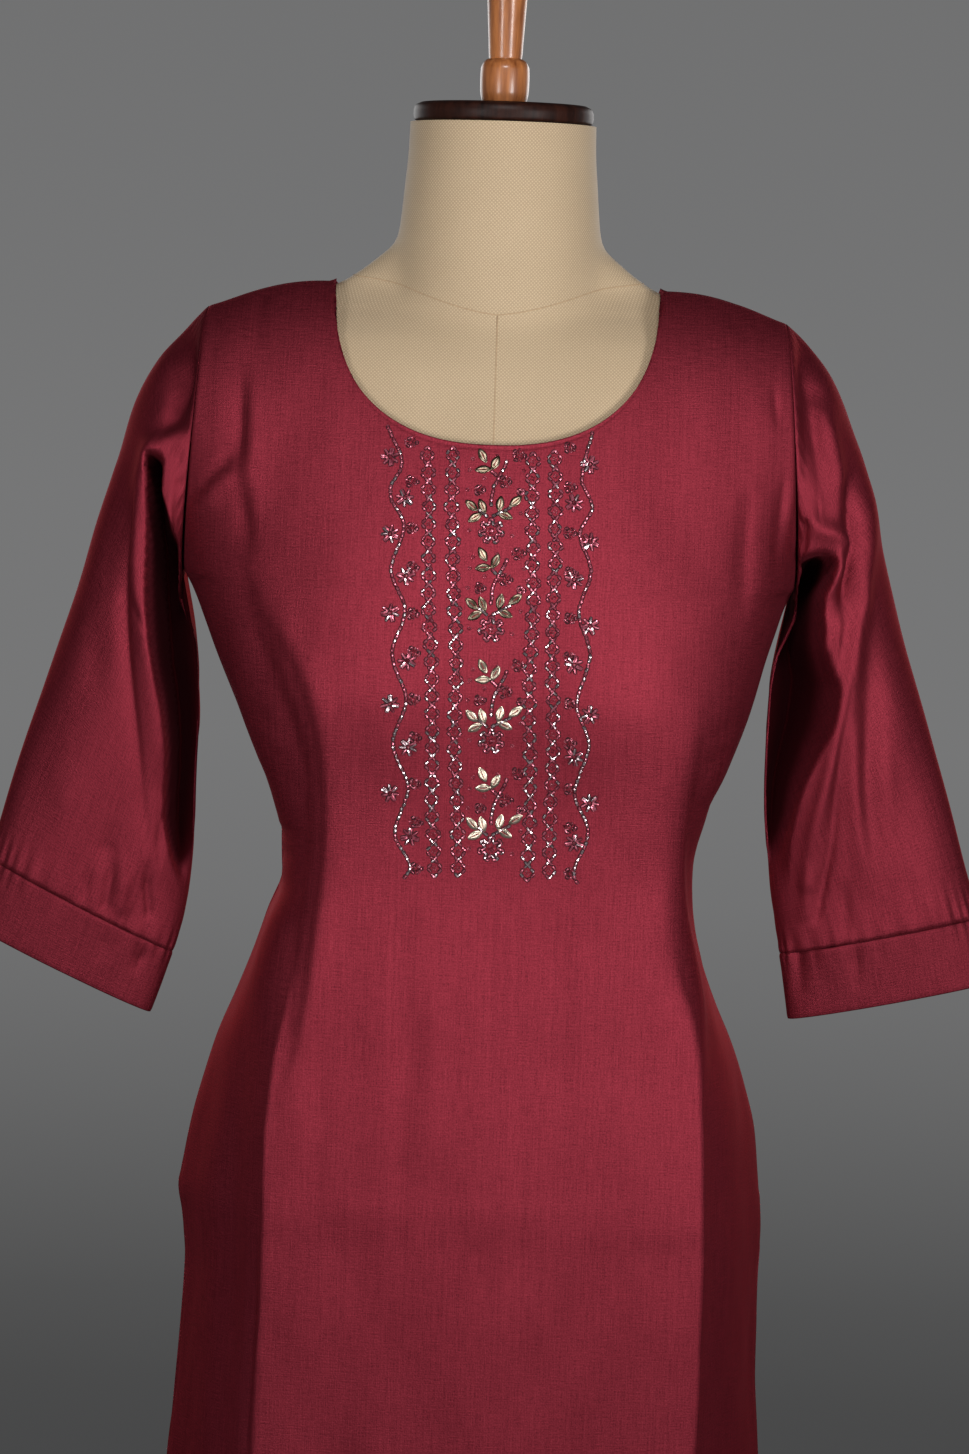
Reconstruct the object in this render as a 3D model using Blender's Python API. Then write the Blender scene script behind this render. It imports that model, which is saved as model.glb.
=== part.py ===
"""Kurta tunic worn by a limbless dress form on a stand.

The garment is six sewn pieces: a front and a back panel, two set-in
three-quarter sleeves and the deep band at the end of each.  Every piece is a
thin closed wall through level sections (panels) or rings (sleeves) worked out
from the short tables below.  The form is one smooth solid inside it.

Tables are in millimetres; the meshes are in metres.  +Z is up, the garment's
front faces -Y, the wearer's left is +X, and the origin is the middle of the
base's underside.
"""
import math

import bmesh
import bpy
import numpy as np

MM = 0.001

# ------------------------------------------------------------ driving sizes
WALL = 1.2            # cloth, with its seam allowances
BAND_WALL = 1.6       # sleeve band, which is turned double
SEAM = 0.3            # clear gap between neighbouring pieces at a seam
HEM_Z = 242.0
SLIT_Z = 765.0        # top of the side slits
UNDERARM_Z = 1168.0
RIDGE_Z = 1384.0      # where the two shoulder lines would meet over the neck

NECK_X = 105.0        # half width of the neck opening at the shoulder
NECK_Z = 1360.0       # height of the shoulder line there
NECK_FRONT = 101.0    # depth of the scooped front neck
NECK_BACK = 35.0
NECK_POWER = 2.4      # fullness of the scoop's curve

ARM_X, ARM_SKEW = 192.5, 5.5     # armhole loop: middle, and lean outward at its foot
ARM_Z, ARM_HALF = 1254.5, 86.5   # its middle height and half height
ARM_DEPTH = 60.0                 # its half depth, front to back

BUST_X, BUST_Z, BUST_OUT, BUST_R = 87.0, 1106.0, 9.0, 62.0

COLS = (7, 3, 3)      # columns from centre to neck point, to crease, to side seam
ARM_ROWS = 10         # rows up each half armhole
LOWER_Z = (242, 330, 430, 530, 620, 690, 735, 765, 800, 835, 868, 900, 930,
           958, 984, 1012, 1042, 1075, 1106, 1138, 1168)

# Level sections of the body.  right = -X side, left = +X side, front/back =
# depth of the centre line, crease = how sharply the pressed crease folds the
# section, crease_right/left = its distance from the centre line, neck_x = how
# far out the column under the neck point runs, slit = half opening of the slit.
BODY_COLUMNS = ("z", "right", "left", "front", "back", "crease",
                "crease_right", "crease_left", "neck_x", "slit")
BODY = (
    (242, 206, 207, 118, 126, 1.00, 145.0, 152.0, 102, 24.0),
    (420, 201, 203, 117, 124, 1.00, 142.0, 151.0, 102, 13.5),
    (586, 194, 196, 117, 122, 1.00, 138.0, 149.0, 101, 6.5),
    (667, 188, 191, 118, 123, 1.00, 135.0, 150.0, 100, 3.2),
    (715, 186, 191, 119, 125, 1.00, 132.0, 150.0, 100, 1.2),
    (747, 189, 192, 119, 127, 1.00, 131.5, 150.0, 100, 0.45),
    (765, 192, 191, 120, 128, 1.00, 131.5, 149.5, 99, 0.15),
    (787, 189, 189, 119, 128, 1.00, 132.0, 149.0, 98, 0.15),
    (814, 184, 186, 118, 126, 0.98, 132.0, 148.0, 96, 0.15),
    (841, 177, 179, 116, 121, 0.90, 130.0, 146.0, 93, 0.15),
    (868, 169, 170, 113, 114, 0.75, 127.0, 143.0, 90, 0.15),
    (895, 158, 158, 112, 104, 0.50, 122.0, 137.0, 86, 0.15),
    (921, 148, 148, 110.5, 93, 0.22, 117.0, 128.0, 82, 0.15),
    (948, 139, 141, 109, 83, 0.05, 110.0, 121.0, 77, 0.15),
    (975, 130, 139, 109, 77, 0.00, 104.0, 119.0, 74, 0.15),
    (1001, 131, 141, 110.5, 76, 0.00, 104.0, 121.0, 72, 0.15),
    (1027, 137, 147, 113, 78, 0.00, 110.0, 126.0, 72, 0.15),
    (1053, 147, 158, 116.5, 83, 0.00, 119.0, 133.0, 74, 0.15),
    (1079, 158, 168, 120.5, 88, 0.00, 129.0, 141.0, 79, 0.15),
    (1105, 169, 176, 124, 92, 0.00, 139.0, 148.0, 85, 0.15),
    (1130, 180, 182, 125, 95, 0.00, 147.0, 154.0, 91, 0.15),
    (1143, 185, 187, 124, 96, 0.00, 151.0, 157.0, 94, 0.15),
    (1156, 191, 192, 123, 97, 0.00, 156.0, 159.0, 97, 0.15),
    (1168, 198, 198, 122, 98, 0.00, 161.0, 161.0, 100, 0.15),
)
# Fullness of a section's curve, front and back, by height.
FULLNESS_COLUMNS = ("z", "front", "back")
FULLNESS = ((242, 3.0, 2.8), (770, 3.0, 2.7), (860, 3.7, 2.65), (920, 4.3, 2.6),
            (1000, 4.3, 2.5), (1060, 3.7, 2.5), (1120, 3.0, 2.5), (1168, 2.6, 2.5))

CREASE_SET = 14.0     # how far the front plane falls back from centre to crease
SIDE_BULGE = 3.0      # how far the side plane swells between crease and seam
HEM_WAVE, HEM_WAVE_Z, HEM_WAVE_X = 3.5, 560.0, 98.0

# Chest and upper back: how the centre line falls back towards the neck.
CHEST_COLUMNS = ("panel", "depth", "fall", "round")
CHEST = {"front": (122.0, 1.6, 0.70), "back": (98.0, 2.6, 0.62)}
SHOULDER_SWELL = 5.0  # the shoulder seam bows up this much between neck and arm
SHOULDER_TOP_X = (105.0, 158.0, 187.0)   # neck, crease and arm columns on the seam

# Sleeve rings.  out = line of the arm's outer edge, in = its inner edge, deep =
# half depth of the ring, forward = how far the ring hangs to the front.
SLEEVE_COLUMNS = ("s", "out_x", "out_z", "in_x", "in_z", "deep", "forward")
SLEEVE_RIGHT = (
    (0.00, 187.0, 1341.0, 198.0, 1168.0, 60.0, 0.0),
    (0.06, 202.0, 1324.5, 200.6, 1153.0, 59.5, 0.0),
    (0.12, 218.0, 1306.5, 195.5, 1138.0, 58.5, 0.5),
    (0.20, 232.0, 1279.0, 189.0, 1120.0, 56.0, 1.5),
    (0.30, 243.5, 1241.0, 186.6, 1095.0, 52.0, 3.0),
    (0.40, 254.0, 1203.5, 186.3, 1070.0, 48.0, 4.0),
    (0.50, 265.0, 1166.0, 187.0, 1045.0, 44.0, 5.0),
    (0.60, 276.0, 1129.0, 187.0, 1020.0, 39.0, 6.0),
    (0.70, 287.5, 1091.5, 187.2, 995.0, 34.0, 7.0),
    (0.80, 299.0, 1054.0, 188.5, 970.0, 29.0, 8.0),
    (0.90, 310.0, 1017.0, 192.0, 946.0, 24.5, 9.0),
    (1.00, 320.0, 979.0, 199.0, 921.0, 20.5, 10.0),
)
SLEEVE_LEFT = (
    (0.00, 187.0, 1341.0, 198.0, 1168.0, 60.0, 0.0),
    (0.06, 203.0, 1326.0, 199.6, 1154.0, 59.5, 0.0),
    (0.12, 217.5, 1308.0, 195.0, 1140.0, 58.5, 0.5),
    (0.20, 230.5, 1279.0, 188.0, 1122.0, 56.0, 1.5),
    (0.30, 242.0, 1239.0, 184.8, 1099.0, 52.0, 3.0),
    (0.40, 253.0, 1200.0, 184.0, 1075.0, 48.0, 4.0),
    (0.50, 264.5, 1161.0, 184.0, 1051.0, 44.0, 5.0),
    (0.60, 276.0, 1122.0, 184.4, 1027.0, 39.0, 6.0),
    (0.70, 288.0, 1083.0, 186.0, 1003.0, 34.0, 7.0),
    (0.80, 301.0, 1042.0, 189.0, 979.0, 29.0, 8.0),
    (0.90, 314.0, 1001.0, 193.0, 955.0, 24.5, 9.0),
    (1.00, 327.0, 960.0, 197.5, 932.0, 20.5, 10.0),
)
# Band: from the sleeve's end to the open cuff.
BAND_RIGHT = ((0.0, 320.0, 979.0, 199.0, 921.0, 20.5, 10.0),
              (1.0, 334.0, 936.5, 212.5, 880.5, 17.0, 11.0))
BAND_LEFT = ((0.0, 327.0, 960.0, 197.5, 932.0, 20.5, 10.0),
             (1.0, 340.5, 918.5, 204.0, 889.0, 17.0, 11.0))
SLEEVE_RINGS = 13
BAND_RINGS = 2

# Largest folds of the sleeves.  face -1 = front, +1 = back; the fold's line
# runs through three points (x outward, z); depth below zero is a trough.
FOLD_COLUMNS = ("sleeve", "face", "x0", "z0", "x1", "z1", "x2", "z2", "depth", "half")
FOLDS = (
    ("right", -1, 206, 1212, 203, 1120, 199, 1010, -19.0, 15),
    ("right", -1, 226, 1222, 228, 1120, 226, 1010, 5.0, 12),
    ("left", -1, 206, 1186, 210, 1130, 206, 1030, -19.0, 15),
    ("left", -1, 238, 1200, 244, 1100, 232, 1010, 5.0, 13),
    ("right", 1, 218, 1210, 222, 1110, 226, 1000, -8.0, 18),
    ("left", 1, 222, 1200, 226, 1100, 232, 1000, -8.0, 18),
)

# Dress form: level rings of the trunk, bottom to shoulders, and of the neck
# that grows out of it.  power = fullness of the ring; the two are blended.
TRUNK_COLUMNS = ("z", "half", "front", "back", "power")
TRUNK = (
    (645.0, 156.0, 92.0, 98.0, 2.2),
    (648.0, 163.0, 98.0, 104.0, 2.2),
    (655.0, 168.0, 102.0, 108.0, 2.2),
    (680.0, 171.0, 105.0, 111.0, 2.15),
    (720.0, 173.0, 107.0, 114.0, 2.1),
    (770.0, 175.0, 109.0, 117.0, 2.1),
    (815.0, 170.0, 107.0, 115.0, 2.15),
    (855.0, 158.0, 102.0, 106.0, 2.2),
    (890.0, 145.0, 97.0, 94.0, 2.25),
    (925.0, 133.0, 92.0, 80.0, 2.3),
    (955.0, 125.0, 89.0, 71.0, 2.3),
    (985.0, 122.0, 89.0, 67.0, 2.3),
    (1015.0, 126.0, 94.0, 68.0, 2.3),
    (1045.0, 136.0, 102.0, 73.0, 2.3),
    (1075.0, 148.0, 110.0, 79.0, 2.3),
    (1105.0, 160.0, 116.0, 84.0, 2.35),
    (1140.0, 171.0, 117.0, 88.0, 2.4),
    (1175.0, 177.0, 113.0, 90.0, 2.4),
    (1210.0, 180.0, 106.0, 88.5, 2.3),
    (1245.0, 181.0, 97.0, 85.0, 2.2),
    (1280.0, 181.0, 86.0, 77.0, 2.1),
    (1305.0, 179.0, 76.0, 68.0, 1.95),
    (1323.0, 175.0, 65.0, 58.0, 1.75),
    (1334.0, 168.0, 56.0, 51.0, 1.5),
    (1343.0, 153.0, 48.0, 44.0, 1.3),
    (1351.0, 127.0, 41.0, 38.0, 1.25),
    (1358.0, 103.5, 36.0, 34.0, 1.35),
    (1366.0, 90.0, 34.0, 32.0, 1.5),
    (1376.0, 76.0, 32.0, 30.0, 1.6),
    (1390.0, 55.0, 30.0, 28.0, 1.8),
    (1412.0, 35.0, 25.0, 24.0, 2.0),
    (1440.0, 25.0, 20.0, 20.0, 2.0),
    (1463.0, 20.0, 20.0, 20.0, 2.0),
)
NECK_COLUMNS = ("z", "half", "front", "back")
NECK = (
    (645.0, 20.0, 20.0, 20.0),
    (1250.0, 30.0, 30.0, 30.0),
    (1290.0, 46.0, 46.0, 44.0),
    (1320.0, 62.0, 57.0, 54.0),
    (1345.0, 68.0, 59.0, 57.0),
    (1370.0, 66.0, 58.0, 57.0),
    (1395.0, 64.5, 56.5, 56.0),
    (1420.0, 62.5, 56.0, 55.0),
    (1445.0, 60.5, 55.5, 55.0),
    (1463.0, 60.0, 55.5, 55.0),
)
FORM_AROUND = 36
FORM_BUST_OUT = 7.5
NECK_BLEND = 10.0     # how tightly the neck's foot hugs the shoulders

CAP = ((1463.3, 55.5), (1465.0, 57.5), (1470.0, 58.2), (1473.5, 57.2), (1475.8, 53.5))
CAP_DEEP = 0.93       # depth of the cap against its width

FINIAL = ((1476.1, 14.0), (1478.5, 14.7), (1484.0, 15.7), (1492.0, 15.9),
          (1498.5, 15.7), (1501.7, 14.6), (1504.2, 12.4), (1505.2, 10.6),
          (1507.0, 10.8), (1516.0, 11.3), (1528.0, 12.0), (1543.0, 12.9),
          (1560.0, 14.8), (1578.0, 16.8), (1594.0, 17.2), (1608.0, 14.6),
          (1619.0, 9.2), (1624.0, 3.8))
POLE_R = 17.0
BASE_R, BASE_H = 215.0, 26.0
BASE_EDGE = 5.0


# ------------------------------------------------------------------ helpers
def smooth(xs, ys):
    """Monotone cubic through a table's rows."""
    xs, ys = np.asarray(xs, float), np.asarray(ys, float)
    h = np.diff(xs)
    d = np.diff(ys) / h
    m = np.zeros_like(ys)
    m[0], m[-1] = d[0], d[-1]
    for i in range(1, len(xs) - 1):
        if d[i - 1] * d[i] > 0:
            w1, w2 = 2 * h[i] + h[i - 1], h[i] + 2 * h[i - 1]
            m[i] = (w1 + w2) / (w1 / d[i - 1] + w2 / d[i])

    def at(x):
        x = np.clip(x, xs[0], xs[-1])
        i = np.clip(np.searchsorted(xs, x, side="right") - 1, 0, len(h) - 1)
        t = (x - xs[i]) / h[i]
        return (ys[i] * (1 + 2 * t) * (1 - t) ** 2 + h[i] * m[i] * t * (1 - t) ** 2
                + ys[i + 1] * t * t * (3 - 2 * t) + h[i] * m[i + 1] * t * t * (t - 1))
    return at


def columns(names, rows):
    """A table's columns by name, each a smooth function of its first one."""
    data = list(zip(*rows))
    return {n: smooth(data[0], c) for n, c in zip(names, data)}


body = columns(BODY_COLUMNS, BODY)
trunk_at = columns(TRUNK_COLUMNS, TRUNK)
neck_at = columns(NECK_COLUMNS, NECK)
full = columns(FULLNESS_COLUMNS, FULLNESS)


# --------------------------------------------------------------- body panels
def bust(x, z, amount=BUST_OUT):
    """How far the cloth stands out over the two high points of the front."""
    return sum(amount * np.exp(-((x - c) ** 2 + (z - BUST_Z) ** 2) / BUST_R ** 2)
               for c in (-BUST_X, BUST_X))


def lower_point_row(z, side, panel, c):
    """Points of one level section below the underarm.

    side -1 or +1; c from 0 (centre) by 1 (under the neck point) and 2 (pressed
    crease) to 3 (side seam or slit edge)."""
    w = float(body["right" if side < 0 else "left"](z))
    depth = float(body[panel](z))
    xc = float(body["crease_right" if side < 0 else "crease_left"](z))
    xh = float(body["neck_x"](z))
    k = float(body["crease"](z)) * (1.0 if panel == "front" else 0.85)
    gap = float(body["slit"](z))
    n = float(full[panel](z))
    c = np.asarray(c, float)

    a = np.linspace(0, math.pi / 2, 181)
    ex, ey = w * np.sin(a) ** (2 / n), depth * np.cos(a) ** (2 / n)
    arc = np.concatenate(([0.0], np.cumsum(np.hypot(np.diff(ex), np.diff(ey)))))
    lh, lc = np.interp(xh, ex, arc), np.interp(xc, ex, arc)
    le = np.interp(-gap, -ey, arc)
    lengths = np.interp(c, (0, 1, 2, 3), (0, lh, lc, le))
    cx, cy = np.interp(lengths, arc, ex), np.interp(lengths, arc, ey)

    yc = depth - CREASE_SET
    px = np.interp(c, (0, 1, 2, 3), (0, xh, xc, w))
    py = np.where(c <= 2, depth - (depth - yc) * (np.minimum(px, xc) / xc) ** 2, 0.0)
    t = np.clip(c - 2, 0, 1)
    run, fall = w - xc, gap - yc
    side_len = math.hypot(run, fall)
    swell = SIDE_BULGE * 4 * t * (1 - t)
    px = np.where(c > 2, xc + run * t - swell * fall / side_len, px)
    py = np.where(c > 2, yc + fall * t + swell * run / side_len, py)

    x = (1 - k) * cx + k * px
    y = (1 - k) * cy + k * py
    wave = np.clip((HEM_WAVE_Z - z) / (HEM_WAVE_Z - HEM_Z), 0, 1) ** 2
    y = y + HEM_WAVE * wave * np.sin(2 * math.pi * side * x / HEM_WAVE_X
                                     + (0.7 if panel == "front" else 2.1)) * (c < 2.9)
    sx = side * x
    if panel == "front":
        y = y + bust(sx, z)
        return np.stack([sx, -y, np.full_like(x, z)], axis=-1)
    return np.stack([sx, y, np.full_like(x, z)], axis=-1)


def arm_edge(tau):
    """The armhole loop's half, underarm (0) to shoulder (1): x, depth, z."""
    th = math.pi * tau
    return (ARM_X + ARM_SKEW * math.cos(th), ARM_DEPTH * math.sin(th),
            ARM_Z - ARM_HALF * math.cos(th))


def shoulder_swell(x, tau):
    t = np.clip((x - NECK_X) / (SHOULDER_TOP_X[2] - NECK_X), 0, 1)
    return SHOULDER_SWELL * tau ** 6 * np.sin(math.pi * t) * (1.25 - 0.5 * t)


def chest_height(x, tau):
    xe, _, ze = arm_edge(tau)
    mid = UNDERARM_Z + (RIDGE_Z - UNDERARM_Z) * tau
    return mid + (ze - mid) * (x / xe) ** (1.8 - 0.8 * tau) + shoulder_swell(x, tau)


def chest_depth(x, tau, panel):
    xe, ye, _ = arm_edge(tau)
    depth, fall, rnd = CHEST[panel]
    mid = depth * max(0.0, 1 - tau ** fall) ** rnd + 0.15
    ye = max(ye, 0.15)
    n = float(full[panel](UNDERARM_Z))
    cut = (1 - min(0.999, ye / mid) ** n) ** (1 / n) if tau < 1 else 0.0
    if cut <= 0:
        return 0.15 + 0 * x
    return mid * np.maximum(1 - (cut * x / xe) ** n, 0.0) ** (1 / n)


def height_to_tau(x, z):
    lo, hi = 0.0, 1.0
    for _ in range(40):
        mid = (lo + hi) / 2
        if chest_height(x, mid) < z:
            lo = mid
        else:
            hi = mid
    return (lo + hi) / 2


def neckline(panel, c):
    """Neck edge, c from 0 (centre) to 1 (shoulder), evenly along the curve."""
    deep = NECK_FRONT if panel == "front" else NECK_BACK
    a = np.linspace(0, math.pi / 2, 181)
    x = NECK_X * np.sin(a) ** (2 / NECK_POWER)
    z = NECK_Z - deep * np.cos(a) ** (2 / NECK_POWER)
    arc = np.concatenate(([0.0], np.cumsum(np.hypot(np.diff(x), np.diff(z)))))
    at = np.asarray(c) * arc[-1]
    return np.interp(at, arc, x), np.interp(at, arc, z)


def upper_point_row(tau, side, panel, c):
    """Points of one row above the underarm, the same stations c as below."""
    c = np.asarray(c, float)
    base = lower_point_row(UNDERARM_Z, 1, panel, c)[:, 0]
    base_h = float(body["neck_x"](UNDERARM_Z))
    xe, ye, ze = arm_edge(tau)
    x0e = arm_edge(0)[0]
    share = ((1 - tau) * base / x0e
             + tau * np.interp(c, (1, 2, 3), SHOULDER_TOP_X) / SHOULDER_TOP_X[2])
    out = np.zeros((len(c), 3))
    xh = xe * ((1 - tau) * base_h / x0e + tau * SHOULDER_TOP_X[0] / SHOULDER_TOP_X[2])
    zh = float(chest_height(xh, tau))
    rise = (zh - UNDERARM_Z) / (NECK_Z - UNDERARM_Z)
    for i, ci in enumerate(c):
        if ci <= 1:
            nx, nz = neckline(panel, ci)
            x = xh * ((1 - rise) * base[i] / base_h + rise * nx / NECK_X)
            z = UNDERARM_Z + (nz - UNDERARM_Z) * rise
            t = height_to_tau(x, z)
        else:
            x, t = xe * share[i], tau
            z = float(chest_height(x, tau))
        y = float(chest_depth(x, t, panel))
        if panel == "front":
            y = y + float(bust(x, z)) * (1 - t) ** 0.5
        out[i] = (side * x, -y if panel == "front" else y, z)
    return out


def panel_points(panel, cols=COLS, arm_rows=ARM_ROWS, lower=LOWER_Z):
    """Grid of the panel's outer face: rows hem to shoulder, columns -X to +X."""
    c = np.concatenate([np.linspace(0, 1, cols[0] + 1),
                        np.linspace(1, 2, cols[1] + 1)[1:],
                        np.linspace(2, 3, cols[2] + 1)[1:]])
    rows = []
    for z in lower:
        rows.append(np.concatenate([lower_point_row(z, -1, panel, c)[::-1],
                                    lower_point_row(z, 1, panel, c)[1:]]))
    for k in range(1, arm_rows + 1):
        tau = k / arm_rows
        rows.append(np.concatenate([upper_point_row(tau, -1, panel, c)[::-1],
                                    upper_point_row(tau, 1, panel, c)[1:]]))
    return np.array(rows)


def grid_normals(grid, outward, closed=False):
    """Unit normals of a grid of points, turned to the side of outward."""
    if closed:
        du = np.roll(grid, -1, axis=1) - np.roll(grid, 1, axis=1)
    else:
        du = np.gradient(grid, axis=1)
    dv = np.gradient(grid, axis=0)
    n = np.cross(du, dv)
    n /= np.maximum(np.linalg.norm(n, axis=-1, keepdims=True), 1e-9)
    flip = np.sign(np.sum(n * outward, axis=-1, keepdims=True))
    return n * np.where(flip == 0, 1, flip)


def unit(v):
    return v / np.maximum(np.linalg.norm(v, axis=-1, keepdims=True), 1e-9)


def panel_inner(grid, panel, n_lower):
    """Inner face: the outer one moved in by the wall, kept off the seams."""
    centre = grid.copy()
    centre[..., 0] *= 0.35
    centre[..., 1] = 0
    n = grid_normals(grid, grid - centre)
    toward = 1.0 if panel == "front" else -1.0
    step = -n
    for edge in (0, -1):                               # side seams: stay in y
        d = step[:n_lower, edge]
        d[:, 1] = np.where(d[:, 1] * toward > 0, 0, d[:, 1])
        step[:n_lower, edge] = unit(d)
        d = step[n_lower:, edge]                       # armholes: stay in x
        side = np.sign(grid[n_lower:, edge, 0])
        d[:, 0] = np.where(d[:, 0] * side > 0, 0, d[:, 0])
        step[n_lower:, edge] = unit(d)
    top = step[-1].copy()                              # shoulder seam: stay in y
    seam = np.abs(grid[-1, :, 0]) >= NECK_X - 0.5
    top[seam, 1] = 0
    step[-1] = unit(top)
    return grid + WALL * step


# -------------------------------------------------------------------- sleeves
def polyline_fold(x, z, row):
    """How strongly a fold's line acts at a point, 1 on it and 0 away from it."""
    _, _, x0, z0, x1, z1, x2, z2, depth, half = row
    t = np.clip((z0 - z) / (z0 - z2), 0, 1)
    line = ((1 - t) ** 2 * x0 + 2 * t * (1 - t) * (2 * x1 - (x0 + x2) / 2) + t * t * x2)
    end = np.clip((z0 + 14 - z) / 45, 0, 1) * np.clip((z - z2 + 10) / 45, 0, 1)
    return depth * np.exp(-((x - line) / half) ** 2) * end


def tube_points(name, rows, count, around, first=0.0, fold=True):
    """Rings of a tube, each even in angle from the inner edge, front first."""
    at = columns(SLEEVE_COLUMNS, rows)
    th = 2 * math.pi * np.arange(around) / around
    grid = []
    for i in range(count + 1):
        s = first + (1 - first) * i / count
        o = np.array([at["out_x"](s), at["out_z"](s)])
        b = np.array([at["in_x"](s), at["in_z"](s)])
        mid, half = (o + b) / 2, (o - b) / 2
        x = mid[0] - half[0] * np.cos(th)
        z = mid[1] - half[1] * np.cos(th)
        deep = float(at["deep"](s))
        face = np.sin(th)
        y = -deep * face - float(at["forward"](s))
        if fold:
            for row in FOLDS:
                if row[0] == name:
                    on = np.clip(-row[1] * face * 2.2, 0, 1)
                    y += -on * polyline_fold(x, z, row) * (-row[1])
        grid.append(np.stack([x, y, z], axis=-1))
    return np.array(grid)


def sleeve_grids(name, side):
    rows = SLEEVE_RIGHT if name == "right" else SLEEVE_LEFT
    around = 2 * ARM_ROWS
    tube = tube_points(name, rows, SLEEVE_RINGS, around)
    # the head of the sleeve stands just off the armhole, more at the underarm
    low = 0.5 + 0.5 * np.cos(2 * math.pi * np.arange(around) / around)
    tube[0, :, 0] += 0.4 + 1.1 * low ** 2
    ax = tube.mean(axis=1, keepdims=True)
    n = grid_normals(tube, tube - ax, closed=True)
    step = -n
    step[0, :, 0] = np.maximum(step[0, :, 0], 0)
    run = unit(tube[-1].mean(0) - tube[-2].mean(0))
    step[-1] -= run * np.sum(step[-1] * run, axis=-1, keepdims=True)
    step = unit(step)
    inner = tube + WALL * step
    tube[..., 0] *= side
    inner[..., 0] *= side
    return tube, inner


def band_grids(name, side):
    rows = BAND_RIGHT if name == "right" else BAND_LEFT
    band = tube_points(name, rows, BAND_RINGS, 2 * ARM_ROWS, fold=False)
    run = unit(band[-1].mean(0) - band[0].mean(0))
    band[0] += run * SEAM
    ax = band.mean(axis=1, keepdims=True)
    n = grid_normals(band, band - ax, closed=True)
    n -= run * np.sum(n * run, axis=-1, keepdims=True)
    n = unit(n)
    outer = band + 0.3 * n
    inner = outer - BAND_WALL * n
    outer[..., 0] *= side
    inner[..., 0] *= side
    return outer, inner


# --------------------------------------------------------------- mesh making
def material(name, colour, rough, metal=0.0):
    mat = bpy.data.materials.new(name)
    mat.use_nodes = True
    shader = mat.node_tree.nodes["Principled BSDF"]
    shader.inputs["Base Color"].default_value = (*colour, 1)
    shader.inputs["Roughness"].default_value = rough
    shader.inputs["Metallic"].default_value = metal
    mat.diffuse_color = (*colour, 1)
    return mat


def finish_object(name, bm, mat, smooth_deg=40):
    bmesh.ops.recalc_face_normals(bm, faces=bm.faces)
    if bm.calc_volume(signed=True) < 0:
        bmesh.ops.reverse_faces(bm, faces=bm.faces)
    mesh = bpy.data.meshes.new(name)
    bm.to_mesh(mesh)
    bm.free()
    mesh.materials.append(mat)
    obj = bpy.data.objects.new(name, mesh)
    bpy.context.scene.collection.objects.link(obj)
    if smooth_deg:
        mesh.shade_smooth()
        mesh.set_sharp_from_angle(angle=math.radians(smooth_deg))
    return obj


def wall(name, outer, inner, mat, closed=False):
    """A closed thin wall between two grids of the same size."""
    bm = bmesh.new()
    sheets = []
    for grid in (outer, inner):
        sheets.append([[bm.verts.new(p * MM) for p in row] for row in grid])
    rows, cols = len(outer), len(outer[0])
    span = cols if closed else cols - 1
    for sheet, turn in ((sheets[0], 1), (sheets[1], -1)):
        for i in range(rows - 1):
            for j in range(span):
                a, b = sheet[i][j], sheet[i][(j + 1) % cols]
                d, e = sheet[i + 1][j], sheet[i + 1][(j + 1) % cols]
                tris = ((a, b, e), (a, e, d)) if j < cols / 2 else ((a, b, d), (b, e, d))
                for tri in tris:
                    bm.faces.new(tri[::turn])
    for i in (0, rows - 1):
        for j in range(span):
            jj = (j + 1) % cols
            bm.faces.new((sheets[0][i][j], sheets[1][i][j], sheets[1][i][jj], sheets[0][i][jj]))
    if not closed:
        for j in (0, cols - 1):
            for i in range(rows - 1):
                bm.faces.new((sheets[0][i][j], sheets[0][i + 1][j],
                              sheets[1][i + 1][j], sheets[1][i][j]))
    return finish_object(name, bm, mat)


def stacked(name, rings, mat, smooth_deg=50):
    """A solid through a stack of rings, closed flat at both ends."""
    bm = bmesh.new()
    loops = [[bm.verts.new(p * MM) for p in ring] for ring in rings]
    count = len(loops[0])
    for lo, hi in zip(loops, loops[1:]):
        for j in range(count):
            k = (j + 1) % count
            bm.faces.new((lo[j], lo[k], hi[k], hi[j]))
    bm.faces.new(loops[0][::-1])
    bm.faces.new(loops[-1])
    return finish_object(name, bm, mat, smooth_deg)


def turned(name, profile, around, mat, deep=1.0, smooth_deg=40):
    """A turned solid: profile rows are height and radius."""
    th = 2 * math.pi * np.arange(around) / around
    rings = [np.stack([r * np.cos(th), deep * r * np.sin(th), np.full(around, z)], axis=-1)
             for z, r in profile]
    return stacked(name, rings, mat, smooth_deg)


def ring_radius(th, half, front, back, power):
    """Distance from the axis to a rounded ring, by angle."""
    deep = np.where(np.sin(th) < 0, front, back)
    return (np.abs(np.cos(th) / half) ** power
            + np.abs(np.sin(th) / deep) ** power) ** (-1 / power)


def form_ring(z, around=FORM_AROUND):
    """One level ring of the form: trunk and neck blended, with the bust."""
    th = 2 * math.pi * np.arange(around) / around
    trunk = ring_radius(th, *(float(trunk_at[k](z)) for k in TRUNK_COLUMNS[1:]))
    neck = ring_radius(th, *(float(neck_at[k](z)) for k in NECK_COLUMNS[1:]), 2.0)
    r = (trunk ** NECK_BLEND + neck ** NECK_BLEND) ** (1 / NECK_BLEND)
    x, y = r * np.cos(th), r * np.sin(th)
    y = y - np.where(y < 0, bust(x, z, FORM_BUST_OUT) * np.clip(-y / 60, 0, 1), 0)
    return np.stack([x, y, np.full_like(x, z)], axis=-1)


def base_profile():
    e, r, h = BASE_EDGE, BASE_R, BASE_H
    steps = [(0.0, r - e * 0.35), (e * 0.35, r)]
    steps += [(h - e + e * math.sin(a), r - e + e * math.cos(a))
              for a in np.linspace(0, math.pi / 2, 4)]
    return steps


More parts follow.
